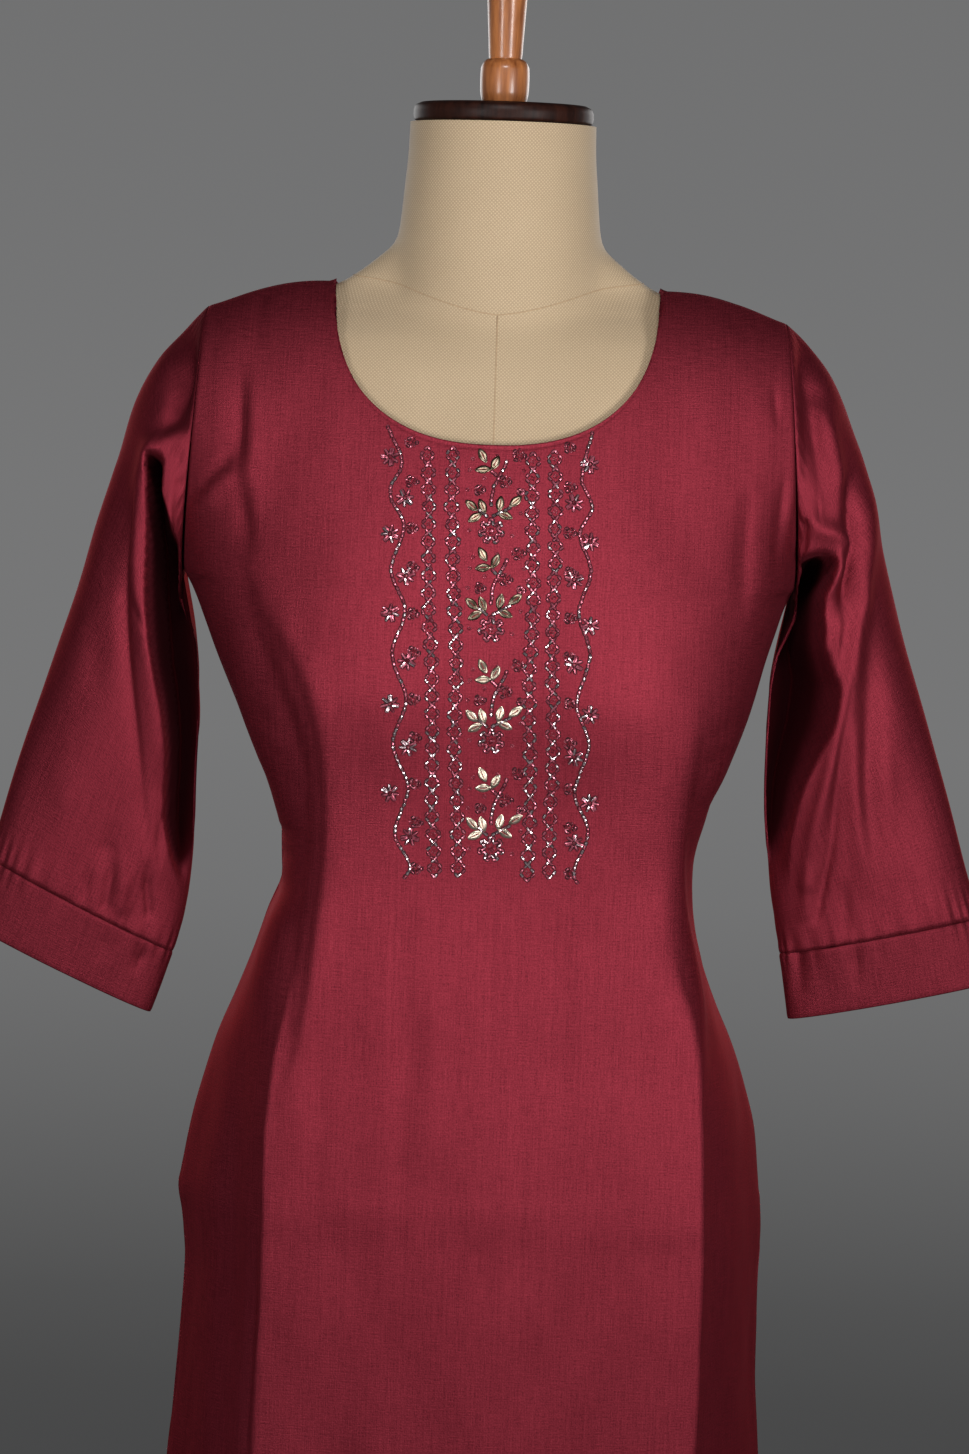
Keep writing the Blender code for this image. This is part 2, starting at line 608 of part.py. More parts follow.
def clear_scene():
    for obj in list(bpy.data.objects):
        bpy.data.objects.remove(obj, do_unlink=True)
    for mesh in list(bpy.data.meshes):
        bpy.data.meshes.remove(mesh)


def main():
    clear_scene()
    bpy.context.scene.unit_settings.scale_length = 1.0

    cloth = material("silk_maroon", (0.25, 0.03, 0.045), 0.5)
    canvas = material("canvas_cream", (0.53, 0.41, 0.26), 0.9)
    dark = material("wood_dark", (0.06, 0.03, 0.015), 0.45)
    wood = material("wood_varnished", (0.35, 0.14, 0.05), 0.35)

    for panel in ("front", "back"):
        grid = panel_points(panel)
        wall("kurta_" + panel, grid, panel_inner(grid, panel, len(LOWER_Z)), cloth.copy())
    for name, side in (("right", -1), ("left", 1)):
        outer, inner = sleeve_grids(name, side)
        wall("sleeve_" + name, outer, inner, cloth.copy(), closed=True)
        outer, inner = band_grids(name, side)
        wall("sleeve_band_" + name, outer, inner, cloth.copy(), closed=True)

    stacked("form_torso", [form_ring(row[0]) for row in TRUNK], canvas)
    turned("neck_cap", CAP, 32, dark, deep=CAP_DEEP)
    turned("finial", FINIAL, 20, wood)
    turned("stand_pole", ((BASE_H + 0.3, POLE_R), (TRUNK[0][0] - 0.3, POLE_R)), 20, wood.copy())
    turned("stand_base", base_profile(), 48, dark.copy())


main()
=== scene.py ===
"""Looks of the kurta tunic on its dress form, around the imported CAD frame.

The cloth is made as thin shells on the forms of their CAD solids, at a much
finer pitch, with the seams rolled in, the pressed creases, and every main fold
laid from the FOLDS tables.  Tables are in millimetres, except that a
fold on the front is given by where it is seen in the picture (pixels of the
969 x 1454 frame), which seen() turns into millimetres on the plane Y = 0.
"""
import math

import bpy
import numpy as np
from mathutils import Matrix, Vector
from mathutils.bvhtree import BVHTree


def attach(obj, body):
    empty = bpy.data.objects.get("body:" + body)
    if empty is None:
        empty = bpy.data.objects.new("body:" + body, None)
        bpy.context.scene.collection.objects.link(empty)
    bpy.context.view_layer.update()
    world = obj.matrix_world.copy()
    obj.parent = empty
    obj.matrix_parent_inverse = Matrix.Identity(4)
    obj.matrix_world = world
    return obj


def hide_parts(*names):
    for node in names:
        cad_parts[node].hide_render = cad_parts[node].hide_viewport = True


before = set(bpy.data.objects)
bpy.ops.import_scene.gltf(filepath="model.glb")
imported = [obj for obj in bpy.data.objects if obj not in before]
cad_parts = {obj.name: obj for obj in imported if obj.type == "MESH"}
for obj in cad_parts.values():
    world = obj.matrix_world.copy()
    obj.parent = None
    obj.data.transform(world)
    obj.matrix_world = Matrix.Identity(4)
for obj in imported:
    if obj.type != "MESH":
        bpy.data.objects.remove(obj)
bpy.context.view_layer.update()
MM = 0.001

# ------------------------------------------------------------------ camera
FRAME_W, FRAME_H = 969, 1454
CAM_BACK, CAM_Z = 3000.0, 1330.8
PITCH, ROLL = math.radians(4.916), math.radians(1.8)
FOCAL = 4615.4                       # pixels


def make_camera():
    data = bpy.data.cameras.new("camera")
    cam = bpy.data.objects.new("camera", data)
    bpy.context.scene.collection.objects.link(cam)
    data.sensor_fit = "AUTO"
    data.sensor_width = 36.0
    data.lens = FOCAL * 36.0 / FRAME_H
    data.clip_start, data.clip_end = 0.05, 200
    data.dof.use_dof = False
    right = Vector((1, 0, 0))
    ahead = Vector((0, math.cos(PITCH), -math.sin(PITCH)))
    up = Vector((0, math.sin(PITCH), math.cos(PITCH)))
    cx = right * math.cos(ROLL) + up * math.sin(ROLL)
    cy = -right * math.sin(ROLL) + up * math.cos(ROLL)
    rot = Matrix((cx, cy, -ahead)).transposed()
    cam.matrix_world = Matrix.Translation((0, -CAM_BACK * MM, CAM_Z * MM)) @ rot.to_4x4()
    bpy.context.scene.camera = cam


def seen(x, y):
    """Millimetres (x, z) on the plane Y = 0 where a point of the picture lies."""
    dx, dy = x - FRAME_W / 2, y - FRAME_H / 2
    u = dx * math.cos(ROLL) + dy * math.sin(ROLL)
    v = dx * math.sin(ROLL) - dy * math.cos(ROLL)
    run = math.cos(PITCH) + v / FOCAL * math.sin(PITCH)
    rise = -math.sin(PITCH) + v / FOCAL * math.cos(PITCH)
    t = CAM_BACK / run
    return u / FOCAL * t, CAM_Z + rise * t


def seen_from_front(p):
    """The same two numbers for points of the garment."""
    k = CAM_BACK / (CAM_BACK + p[..., 1])
    return p[..., 0] * k, CAM_Z + (p[..., 2] - CAM_Z) * k


# ------------------------------------------------- the garment's form (as CAD)
HEM_Z, SLIT_Z = 242.0, 765.0
UNDERARM_Z, RIDGE_Z = 1168.0, 1384.0
NECK_X, NECK_Z = 105.0, 1360.0
NECK_FRONT, NECK_BACK, NECK_POWER = 101.0, 35.0, 2.4
ARM_X, ARM_SKEW, ARM_Z, ARM_HALF, ARM_DEPTH = 192.5, 5.5, 1254.5, 86.5, 60.0
BUST_X, BUST_Z, BUST_OUT, BUST_R = 87.0, 1106.0, 9.0, 62.0
SEAM = 0.3

BODY_COLUMNS = ("z", "right", "left", "front", "back", "crease",
                "crease_right", "crease_left", "neck_x", "slit")
BODY = (
    (242, 206, 207, 118, 126, 1.00, 145.0, 152.0, 102, 24.0),
    (420, 201, 203, 117, 124, 1.00, 142.0, 151.0, 102, 13.5),
    (586, 194, 196, 117, 122, 1.00, 138.0, 149.0, 101, 6.5),
    (667, 188, 191, 118, 123, 1.00, 135.0, 150.0, 100, 3.2),
    (715, 186, 191, 119, 125, 1.00, 132.0, 150.0, 100, 1.2),
    (747, 189, 192, 119, 127, 1.00, 131.5, 150.0, 100, 0.45),
    (765, 192, 191, 120, 128, 1.00, 131.5, 149.5, 99, 0.15),
    (787, 189, 189, 119, 128, 1.00, 132.0, 149.0, 98, 0.15),
    (814, 184, 186, 118, 126, 0.98, 132.0, 148.0, 96, 0.15),
    (841, 177, 179, 116, 121, 0.90, 130.0, 146.0, 93, 0.15),
    (868, 169, 170, 113, 114, 0.75, 127.0, 143.0, 90, 0.15),
    (895, 158, 158, 112, 104, 0.50, 122.0, 137.0, 86, 0.15),
    (921, 148, 148, 110.5, 93, 0.22, 117.0, 128.0, 82, 0.15),
    (948, 139, 141, 109, 83, 0.05, 110.0, 121.0, 77, 0.15),
    (975, 130, 139, 109, 77, 0.00, 104.0, 119.0, 74, 0.15),
    (1001, 131, 141, 110.5, 76, 0.00, 104.0, 121.0, 72, 0.15),
    (1027, 137, 147, 113, 78, 0.00, 110.0, 126.0, 72, 0.15),
    (1053, 147, 158, 116.5, 83, 0.00, 119.0, 133.0, 74, 0.15),
    (1079, 158, 168, 120.5, 88, 0.00, 129.0, 141.0, 79, 0.15),
    (1105, 169, 176, 124, 92, 0.00, 139.0, 148.0, 85, 0.15),
    (1130, 180, 182, 125, 95, 0.00, 147.0, 154.0, 91, 0.15),
    (1143, 185, 187, 124, 96, 0.00, 151.0, 157.0, 94, 0.15),
    (1156, 191, 192, 123, 97, 0.00, 156.0, 159.0, 97, 0.15),
    (1168, 198, 198, 122, 98, 0.00, 161.0, 161.0, 100, 0.15),
)
FULLNESS_COLUMNS = ("z", "front", "back")
FULLNESS = ((242, 3.0, 2.8), (770, 3.0, 2.7), (860, 3.7, 2.65), (920, 4.3, 2.6),
            (1000, 4.3, 2.5), (1060, 3.7, 2.5), (1120, 3.0, 2.5), (1168, 2.6, 2.5))
CREASE_SET, SIDE_BULGE = 14.0, 3.0
HEM_WAVE, HEM_WAVE_Z, HEM_WAVE_X = 3.5, 560.0, 98.0
CHEST = {"front": (122.0, 1.6, 0.70), "back": (98.0, 2.6, 0.62)}
SHOULDER_SWELL = 5.0
SHOULDER_TOP_X = (105.0, 158.0, 187.0)

SLEEVE_COLUMNS = ("s", "out_x", "out_z", "in_x", "in_z", "deep", "forward")
SLEEVES = {
    "right": (
        (0.00, 187.0, 1341.0, 198.0, 1168.0, 60.0, 0.0),
        (0.06, 202.0, 1324.5, 200.6, 1153.0, 59.5, 0.0),
        (0.12, 218.0, 1306.5, 195.5, 1138.0, 58.5, 0.5),
        (0.20, 232.0, 1279.0, 189.0, 1120.0, 56.0, 1.5),
        (0.30, 243.5, 1241.0, 186.6, 1095.0, 52.0, 3.0),
        (0.40, 254.0, 1203.5, 186.3, 1070.0, 48.0, 4.0),
        (0.50, 265.0, 1166.0, 187.0, 1045.0, 44.0, 5.0),
        (0.60, 276.0, 1129.0, 187.0, 1020.0, 39.0, 6.0),
        (0.70, 287.5, 1091.5, 187.2, 995.0, 34.0, 7.0),
        (0.80, 299.0, 1054.0, 188.5, 970.0, 29.0, 8.0),
        (0.90, 310.0, 1017.0, 192.0, 946.0, 24.5, 9.0),
        (1.00, 320.0, 979.0, 199.0, 921.0, 20.5, 10.0)),
    "left": (
        (0.00, 187.0, 1341.0, 198.0, 1168.0, 60.0, 0.0),
        (0.06, 203.0, 1326.0, 199.6, 1154.0, 59.5, 0.0),
        (0.12, 217.5, 1308.0, 195.0, 1140.0, 58.5, 0.5),
        (0.20, 230.5, 1279.0, 188.0, 1122.0, 56.0, 1.5),
        (0.30, 242.0, 1239.0, 184.8, 1099.0, 52.0, 3.0),
        (0.40, 253.0, 1200.0, 184.0, 1075.0, 48.0, 4.0),
        (0.50, 264.5, 1161.0, 184.0, 1051.0, 44.0, 5.0),
        (0.60, 276.0, 1122.0, 184.4, 1027.0, 39.0, 6.0),
        (0.70, 288.0, 1083.0, 186.0, 1003.0, 34.0, 7.0),
        (0.80, 301.0, 1042.0, 189.0, 979.0, 29.0, 8.0),
        (0.90, 314.0, 1001.0, 193.0, 955.0, 24.5, 9.0),
        (1.00, 327.0, 960.0, 197.5, 932.0, 20.5, 10.0)),
}
BANDS = {
    "right": ((0.0, 320.0, 979.0, 199.0, 921.0, 20.5, 10.0),
              (1.0, 334.0, 936.5, 212.5, 880.5, 17.0, 11.0)),
    "left": ((0.0, 327.0, 960.0, 197.5, 932.0, 20.5, 10.0),
             (1.0, 340.5, 918.5, 204.0, 889.0, 17.0, 11.0)),
}

TRUNK_COLUMNS = ("z", "half", "front", "back", "power")
TRUNK = (
    (645.0, 156.0, 92.0, 98.0, 2.2), (648.0, 163.0, 98.0, 104.0, 2.2),
    (655.0, 168.0, 102.0, 108.0, 2.2), (680.0, 171.0, 105.0, 111.0, 2.15),
    (720.0, 173.0, 107.0, 114.0, 2.1), (770.0, 175.0, 109.0, 117.0, 2.1),
    (815.0, 170.0, 107.0, 115.0, 2.15), (855.0, 158.0, 102.0, 106.0, 2.2),
    (890.0, 145.0, 97.0, 94.0, 2.25), (925.0, 133.0, 92.0, 80.0, 2.3),
    (955.0, 125.0, 89.0, 71.0, 2.3), (985.0, 122.0, 89.0, 67.0, 2.3),
    (1015.0, 126.0, 94.0, 68.0, 2.3), (1045.0, 136.0, 102.0, 73.0, 2.3),
    (1075.0, 148.0, 110.0, 79.0, 2.3), (1105.0, 160.0, 116.0, 84.0, 2.35),
    (1140.0, 171.0, 117.0, 88.0, 2.4), (1175.0, 177.0, 113.0, 90.0, 2.4),
    (1210.0, 180.0, 106.0, 88.5, 2.3), (1245.0, 181.0, 97.0, 85.0, 2.2),
    (1280.0, 181.0, 86.0, 77.0, 2.1), (1305.0, 179.0, 76.0, 68.0, 1.95),
    (1323.0, 175.0, 65.0, 58.0, 1.75), (1334.0, 168.0, 56.0, 51.0, 1.5),
    (1343.0, 153.0, 48.0, 44.0, 1.3), (1351.0, 127.0, 41.0, 38.0, 1.25),
    (1358.0, 103.5, 36.0, 34.0, 1.35), (1366.0, 90.0, 34.0, 32.0, 1.5),
    (1376.0, 76.0, 32.0, 30.0, 1.6), (1390.0, 55.0, 30.0, 28.0, 1.8),
    (1412.0, 35.0, 25.0, 24.0, 2.0), (1440.0, 25.0, 20.0, 20.0, 2.0),
    (1463.0, 20.0, 20.0, 20.0, 2.0),
)
NECK_COLUMNS = ("z", "half", "front", "back")
NECK = (
    (645.0, 20.0, 20.0, 20.0), (1250.0, 30.0, 30.0, 30.0),
    (1290.0, 46.0, 46.0, 44.0), (1320.0, 62.0, 57.0, 54.0),
    (1345.0, 68.0, 59.0, 57.0), (1370.0, 66.0, 58.0, 57.0),
    (1395.0, 64.5, 56.5, 56.0), (1420.0, 62.5, 56.0, 55.0),
    (1445.0, 60.5, 55.5, 55.0), (1463.0, 60.0, 55.5, 55.0),
)
FORM_BUST_OUT, NECK_BLEND = 7.5, 10.0
CAP = ((1463.3, 55.5), (1465.0, 57.5), (1470.0, 58.2), (1473.5, 57.2), (1475.8, 53.5))
CAP_DEEP = 0.93
FINIAL = ((1476.1, 14.0), (1478.5, 14.7), (1484.0, 15.7), (1492.0, 15.9),
          (1498.5, 15.7), (1501.7, 14.6), (1504.2, 12.4), (1505.2, 10.6),
          (1507.0, 10.8), (1516.0, 11.3), (1528.0, 12.0), (1543.0, 12.9),
          (1560.0, 14.8), (1578.0, 16.8), (1594.0, 17.2), (1608.0, 14.6),
          (1619.0, 9.2), (1624.0, 3.8))
POLE_R, BASE_R, BASE_H, BASE_EDGE = 17.0, 215.0, 26.0, 5.0

# --------------------------------------------------------------- fold tables
# (piece, face, points seen in the picture, heights in mm at those points,
#  (width on the right of the line going down, width on its left), power)
# face "f" is the front.  Height above zero is a ridge, below it a trough.
# power 2 is a soft roll, about 1.2 a pressed or pulled line.
FOLDS = (
    # ---- front panel: upper pressed creases and pulls from the armholes
    ("front", "f", ((244, 372), (244, 410), (243, 440), (244, 468)), (0, -2.2, -3.0, 0), (2.6, 10), 1.8),
    ("front", "f", ((250, 365), (248, 400), (247, 450), (249, 500), (252, 540)), (0, 1.2, 1.6, 1.6, 0), (9, 3), 2),
    ("front", "f", ((189, 499), (206, 482), (224, 464), (243, 454)), (-0.8, -2.8, -2.8, 0), (3, 3.4), 1.5),
    ("front", "f", ((189, 513), (207, 497), (226, 478), (246, 468)), (0.5, 2.4, 2.2, 0), (8, 6), 2),
    ("front", "f", ((248, 482), (248, 505), (249, 530), (253, 562)), (0, -2.4, -2.2, 0), (2.2, 9), 1.7),
    ("front", "f", ((236, 560), (250, 600), (262, 640), (272, 690)), (0, -1.4, -1.6, 0), (14, 9), 2),
    ("front", "f", ((262, 297), (258, 312), (257, 330), (257, 350)), (-1.6, -1.4, -0.8, 0), (5, 3), 1.6),
    ("front", "f", ((228, 300), (232, 330), (232, 365)), (0, 0.8, 0), (9, 9), 2),
    ("front", "f", ((728, 309), (737, 322), (742, 340)), (-1.8, -1.2, 0), (4, 5), 1.6),
    ("front", "f", ((773, 378), (776, 405), (778, 428)), (0, -1.4, 0), (2.5, 3), 1.4),
    ("front", "f", ((786, 470), (783, 505), (778, 540), (775, 590)), (0, -1.7, -1.5, 0), (3.5, 3.5), 1.6),
    ("front", "f", ((793, 478), (789, 510), (786, 545)), (0, 1.2, 0), (4, 4), 2),
    ("front", "f", ((750, 470), (747, 520), (744, 565), (742, 625)), (0, -1.2, -1.4, 0), (5, 6), 2),
    ("front", "f", ((764, 540), (757, 590), (750, 640)), (0, 1.3, 0), (8, 8), 2),
    # ---- front panel: waist pulls at the side seams
    ("front", "f", ((736, 724), (722, 733), (708, 738)), (-0.8, -1.5, 0), (4, 5), 2),
    ("front", "f", ((722, 757), (712, 762), (700, 764)), (-1.6, -1.7, 0), (3.5, 5), 2),
    ("front", "f", ((711, 780), (705, 783), (696, 783)), (0, -1.3, 0), (4, 5), 2),
    ("front", "f", ((712, 803), (703, 806), (694, 807)), (-0.5, -1.0, 0), (5, 6), 2),
    ("front", "f", ((700, 830), (694, 860), (690, 895)), (0, -1.4, 0), (5, 5), 2),
    ("front", "f", ((258, 715), (270, 730), (284, 738)), (-1.0, -1.0, 0), (5, 5), 2),
    ("front", "f", ((272, 770), (284, 782), (298, 786)), (-1.2, -1.0, 0), (5, 6), 2),
    ("front", "f", ((280, 832), (292, 838), (306, 840)), (-2.0, -1.6, 0), (3.4, 4), 1.8),
    ("front", "f", ((282, 852), (296, 859), (312, 860)), (-1.8, -1.4, 0), (3.4, 4), 1.8),
    ("front", "f", ((268, 752), (280, 760), (292, 764)), (-1.4, -1.0, 0), (3, 4), 1.8),
    # ---- front panel: the turn from the bust down to each long pressed crease
    ("front", "f", ((250, 520), (253, 560), (263, 604), (286, 636), (308, 682), (324, 744), (330, 818), (324, 890), (316, 950), (309, 1005), (296, 1065), (278, 1125)),
     (0, 0.7, 1.3, 2.0, 2.6, 2.8, 2.8, 2.6, 2.4, 2.0, 1.2, 0), (13, 4.6), 2),
    ("front", "f", ((236, 570), (242, 620), (262, 660), (280, 706), (296, 760), (300, 824), (294, 890), (288, 950), (284, 1005), (276, 1060)),
     (0, -1.6, -3.0, -4.2, -4.6, -4.4, -3.6, -2.6, -1.6, 0), (8, 17), 2),
    ("front", "f", ((700, 690), (694, 745), (684, 812), (679, 865), (680, 905), (688, 950), (697, 1000), (701, 1050), (704, 1110)),
     (0, 1.4, 2.2, 2.8, 3.6, 4.2, 3.8, 2.4, 0), (4, 17), 2),
    ("front", "f", ((704, 745), (694, 812), (691, 865), (692, 905), (700, 950)),
     (0, -1.0, -1.2, -1.0, 0), (10, 4), 2),
    # ---- front panel: side planes below the hip, long soft drapes
    ("front", "f", ((262, 1180), (256, 1260), (251, 1340), (246, 1454), (240, 1600)), (0, -1.6, -2.6, -3.2, -3.4), (2.5, 4), 1.6),
    ("front", "f", ((232, 1000), (222, 1100), (216, 1200), (212, 1330), (205, 1480), (196, 1700)), (0, 2.0, 2.6, 2.4, 2.6, 2.2), (10, 11), 2),
    ("front", "f", ((244, 1040), (238, 1120), (234, 1200), (232, 1300), (226, 1430)), (0, -1.4, -1.8, -1.6, 0), (6, 7), 2),
    ("front", "f", ((716, 1010), (724, 1100), (728, 1200), (730, 1330), (736, 1480), (746, 1700)), (0, 2.0, 2.4, 2.2, 2.4, 2.2), (10, 10), 2),
    ("front", "f", ((705, 1050), (710, 1150), (711, 1250), (712, 1380)), (0, -1.3, -1.6, 0), (6, 6), 2),
    ("front", "f", ((250, 1369), (255, 1374), (264, 1377)), (0, -1.3, 0), (2.5, 2.5), 1.6),
    ("front", "f", ((246, 1386), (252, 1391), (262, 1392)), (0, -1.1, 0), (2.5, 2.5), 1.6),
    # ---- front plane: very soft long drapes and the foot of the form beneath
    ("front", "f", ((350, 900), (356, 1000), (352, 1150), (348, 1300), (340, 1500)), (0, -1.0, -1.3, -1.2, -1.5), (16, 18), 2),
    ("front", "f", ((404, 885), (401, 960), (405, 1050), (401, 1160), (398, 1290)), (0, -1.5, -1.9, -1.5, 0), (9, 9), 2),
    ("front", "f", ((430, 905), (433, 980), (435, 1080), (431, 1200)), (0, 0.9, 1.2, 0), (8, 8), 2),
    ("front", "f", ((505, 880), (507, 960), (506, 1060), (508, 1180), (506, 1300)), (0, 0.6, 0.9, 0.8, 0), (5, 6), 2),
    ("front", "f", ((556, 890), (560, 980), (562, 1080), (558, 1190)), (0, -1.3, -1.6, 0), (9, 10), 2),
    ("front", "f", ((634, 900), (640, 980), (642, 1080), (640, 1180)), (0, -0.9, -1.3, 0), (9, 8), 2),
    ("front", "f", ((322, 1010), (320, 1080), (317, 1160), (312, 1230)), (0, -1.2, -1.4, 0), (8, 9), 2),
    ("front", "f", ((470, 930), (474, 1050), (478, 1200), (470, 1400), (462, 1650)), (0, 1.0, 1.2, 1.3, 1.8), (20, 20), 2),
    ("front", "f", ((600, 880), (612, 1000), (616, 1160), (610, 1320), (604, 1500)), (0, -1.0, -1.2, -1.4, -1.6), (18, 16), 2),
    ("front", "f", ((265, 1196), (340, 1206), (480, 1211), (620, 1208), (702, 1198)), (0, 0.3, 0.35, 0.3, 0), (8, 7), 2),
    ("front", "f", ((265, 1214), (340, 1224), (480, 1230), (620, 1226), (702, 1214)), (0, -0.25, -0.3, -0.25, 0), (8, 9), 2),
    # ---- chest: soft pulls between the two high points and below them
    ("front", "f", ((300, 520), (330, 560), (345, 610)), (0, 0.8, 0), (18, 18), 2),
    ("front", "f", ((660, 500), (640, 560), (630, 620)), (0, 0.8, 0), (18, 18), 2),
    ("front", "f", ((306, 602), (300, 640), (298, 700)), (0, -1.0, 0), (8, 8), 2),

    # ---- sleeve on the left of the picture
    ("right", "f", ((190, 437), (176, 436), (163, 440), (152, 451), (145, 470), (139, 495), (136, 530), (137, 575), (142, 610), (148, 650), (154, 700), (158, 745), (161, 790)),
     (1.5, 3.6, 5.0, 6.0, 6.0, 5.5, 5.0, 4.6, 4.4, 4.2, 4.0, 3.4, 0), (7, 7), 2),
    ("right", "f", ((187, 424), (172, 421), (158, 427), (147, 441)), (-1.0, -3.0, -3.0, 0), (6, 8), 2),
    ("right", "f", ((140, 478), (133, 510), (128, 545), (126, 590), (127, 640), (132, 690), (138, 745), (143, 800), (150, 860)),
     (0, -3.6, -4.6, -4.6, -4.2, -3.8, -3.2, -2.4, 0), (2.4, 5), 1.2),
    ("right", "f", ((179, 366), (171, 390), (162, 414), (152, 436), (145, 460)), (0, 1.6, 2.2, 1.6, 0), (5, 7), 2),
    ("right", "f", ((203, 320), (191, 348), (184, 376), (175, 403), (165, 424)), (-2, -8.5, -13, -11, -3.5), (16, 11), 1.8),
    ("right", "f", ((205, 372), (197, 396), (189, 416), (179, 428)), (0.5, 1.6, 1.4, 0), (3, 4), 1.6),
    ("right", "f", ((186, 452), (178, 462), (170, 476)), (0, -1.4, 0), (3, 3), 1.6),
    ("right", "f", ((187, 470), (181, 482), (172, 494)), (0, -1.6, 0), (3, 3), 1.6),
    ("right", "f", ((188, 492), (184, 504), (178, 516)), (0, -1.3, 0), (3, 3), 1.6),
    ("right", "f", ((131, 590), (137, 612), (146, 632)), (0, -1.8, 0), (2.4, 3), 1.4),
    ("right", "f", ((163, 800), (160, 840), (158, 872)), (0, -2.0, 0), (3, 4), 1.5),
    ("right", "f", ((76, 760), (68, 800), (58, 850)), (0, 1.3, 0), (12, 12), 2),
    ("right", "f", ((150, 430), (138, 470), (128, 520), (120, 590)), (0, -1.6, -1.8, 0), (6, 7), 2),
    ("right", "f", ((192, 401), (184, 409), (177, 418)), (0.5, 1.6, 0), (4, 4), 2),
    ("right", "f", ((104, 600), (96, 650), (92, 700)), (0, -1.5, 0), (9, 9), 2),
    ("right", "f", ((120, 470), (112, 520), (106, 580)), (0, -1.6, -0.6), (8, 8), 2),
    ("right", "f", ((118, 820), (106, 848), (100, 872)), (0, -2.4, 0), (4, 4), 1.6),
    ("right", "f", ((117, 842), (111, 875), (106, 908)), (0, -3.4, -3.0), (2.0, 3.6), 1.3),
    ("right", "f", ((90, 862), (86, 885), (82, 900)), (0, -2.6, -2.2), (2, 3), 1.4),
    ("right", "f", ((150, 858), (148, 885), (150, 914)), (0, -3.2, -2.8), (2, 3), 1.4),
    ("right", "f", ((129, 856), (124, 885), (121, 908)), (0, 2.4, 1.8), (4, 4), 2),
    # ---- sleeve on the right of the picture
    ("left", "f", ((793, 502), (806, 516), (822, 530), (838, 536), (847, 543), (848, 556), (842, 572), (832, 588), (823, 600)),
     (1.5, 3.0, 4.5, 5.5, 6.0, 5.6, 5.0, 3.4, 0), (6, 6), 1.8),
    ("left", "f", ((822, 398), (830, 430), (837, 470), (839, 512)), (0, 3.0, 3.6, 1.6), (4.5, 4.5), 1.8),
    ("left", "f", ((847, 470), (851, 498), (855, 530), (853, 560), (846, 592), (838, 622)), (0, -5.5, -8.5, -9.0, -6.0, 0), (3.6, 5.5), 1.5),
    ("left", "f", ((842, 420), (856, 455), (865, 500), (867, 540), (864, 580), (858, 620), (852, 670), (842, 720), (828, 780), (815, 830), (806, 880)),
     (0, 3.2, 5.0, 5.4, 5.4, 5.2, 5.0, 5.0, 4.6, 3.6, 1.5), (6, 5.5), 1.9),
    ("left", "f", ((842, 600), (837, 640), (835, 678)), (0, 2.2, 0), (2.2, 2.6), 1.5),
    ("left", "f", ((855, 640), (850, 690), (842, 740), (836, 790), (832, 840), (824, 880), (817, 917)), (0, -2.0, -2.6, -2.4, -2.6, -3.2, -2.0), (3, 3.5), 1.5),
    ("left", "f", ((856, 690), (856, 740), (856, 790), (862, 850), (868, 900)), (0, 2.6, 3.0, 2.4, 0), (6, 6), 2),
    ("left", "f", ((872, 625), (870, 690), (866, 760), (868, 820), (873, 870)), (0, -2.2, -2.6, -2.0, 0), (8, 6), 2),
    ("left", "f", ((890, 640), (897, 720), (906, 800)), (0, 1.4, 0), (12, 12), 2),
    ("left", "f", ((796, 328), (807, 360), (814, 396), (819, 440), (820, 492)), (-2, -7.5, -9.0, -7.0, -2.0), (6, 14), 1.8),
    ("left", "f", ((838, 548), (838, 560), (834, 575), (826, 590)), (1.5, 3.2, 2.6, 0), (3, 3.5), 1.7),
    ("left", "f", ((806, 372), (822, 392), (832, 412)), (0, -1.8, 0), (5, 5), 2),
    ("left", "f", ((797, 520), (806, 524), (816, 532)), (-1.0, -2.4, 0), (2.4, 3), 1.5),
    ("left", "f", ((846, 545), (851, 560), (848, 585), (842, 606)), (0, -2.6, -2.0, 0), (2.4, 3), 1.4),
    ("left", "f", ((858, 560), (864, 600), (866, 640)), (0, 1.6, 0), (4, 4), 2),
    ("left", "f", ((884, 720), (886, 780), (892, 840)), (0, 1.5, 0), (7, 8), 2),
    ("left", "f", ((812, 860), (808, 885), (806, 912)), (0, 2.4, 1.2), (4, 5), 2),
    ("left", "f", ((846, 880), (846, 905), (848, 932)), (0, -2.4, -2.0), (3, 4), 1.5),
    ("left", "f", ((800, 545), (804, 560), (808, 578)), (1.6, 2.2, 0), (3, 3), 2),
    ("left", "f", ((797, 558), (800, 572), (802, 588)), (-1.2, -1.8, 0), (2.5, 2.5), 2),
    ("left", "f", ((900, 860), (910, 890), (914, 915)), (0, -1.2, -0.8), (6, 6), 2),
    # ---- bands
    ("band_right", "f", ((148, 940), (142, 958), (134, 976)), (-0.5, -2.6, 0), (2.6, 4), 1.5),
    ("band_right", "f", ((112, 925), (106, 945), (100, 965)), (0, -1.0, 0), (5, 5), 2),
    ("band_left", "f", ((853, 936), (856, 960), (858, 992)), (-1.5, -2.8, 0), (2.6, 3.5), 1.5),
    ("band_left", "f", ((798, 915), (799, 950), (800, 990)), (-1.0, -3.0, -1.0), (5, 5), 2),
    ("band_left", "f", ((828, 920), (830, 950), (836, 985)), (0, 1.6, 0), (7, 7), 2),
)
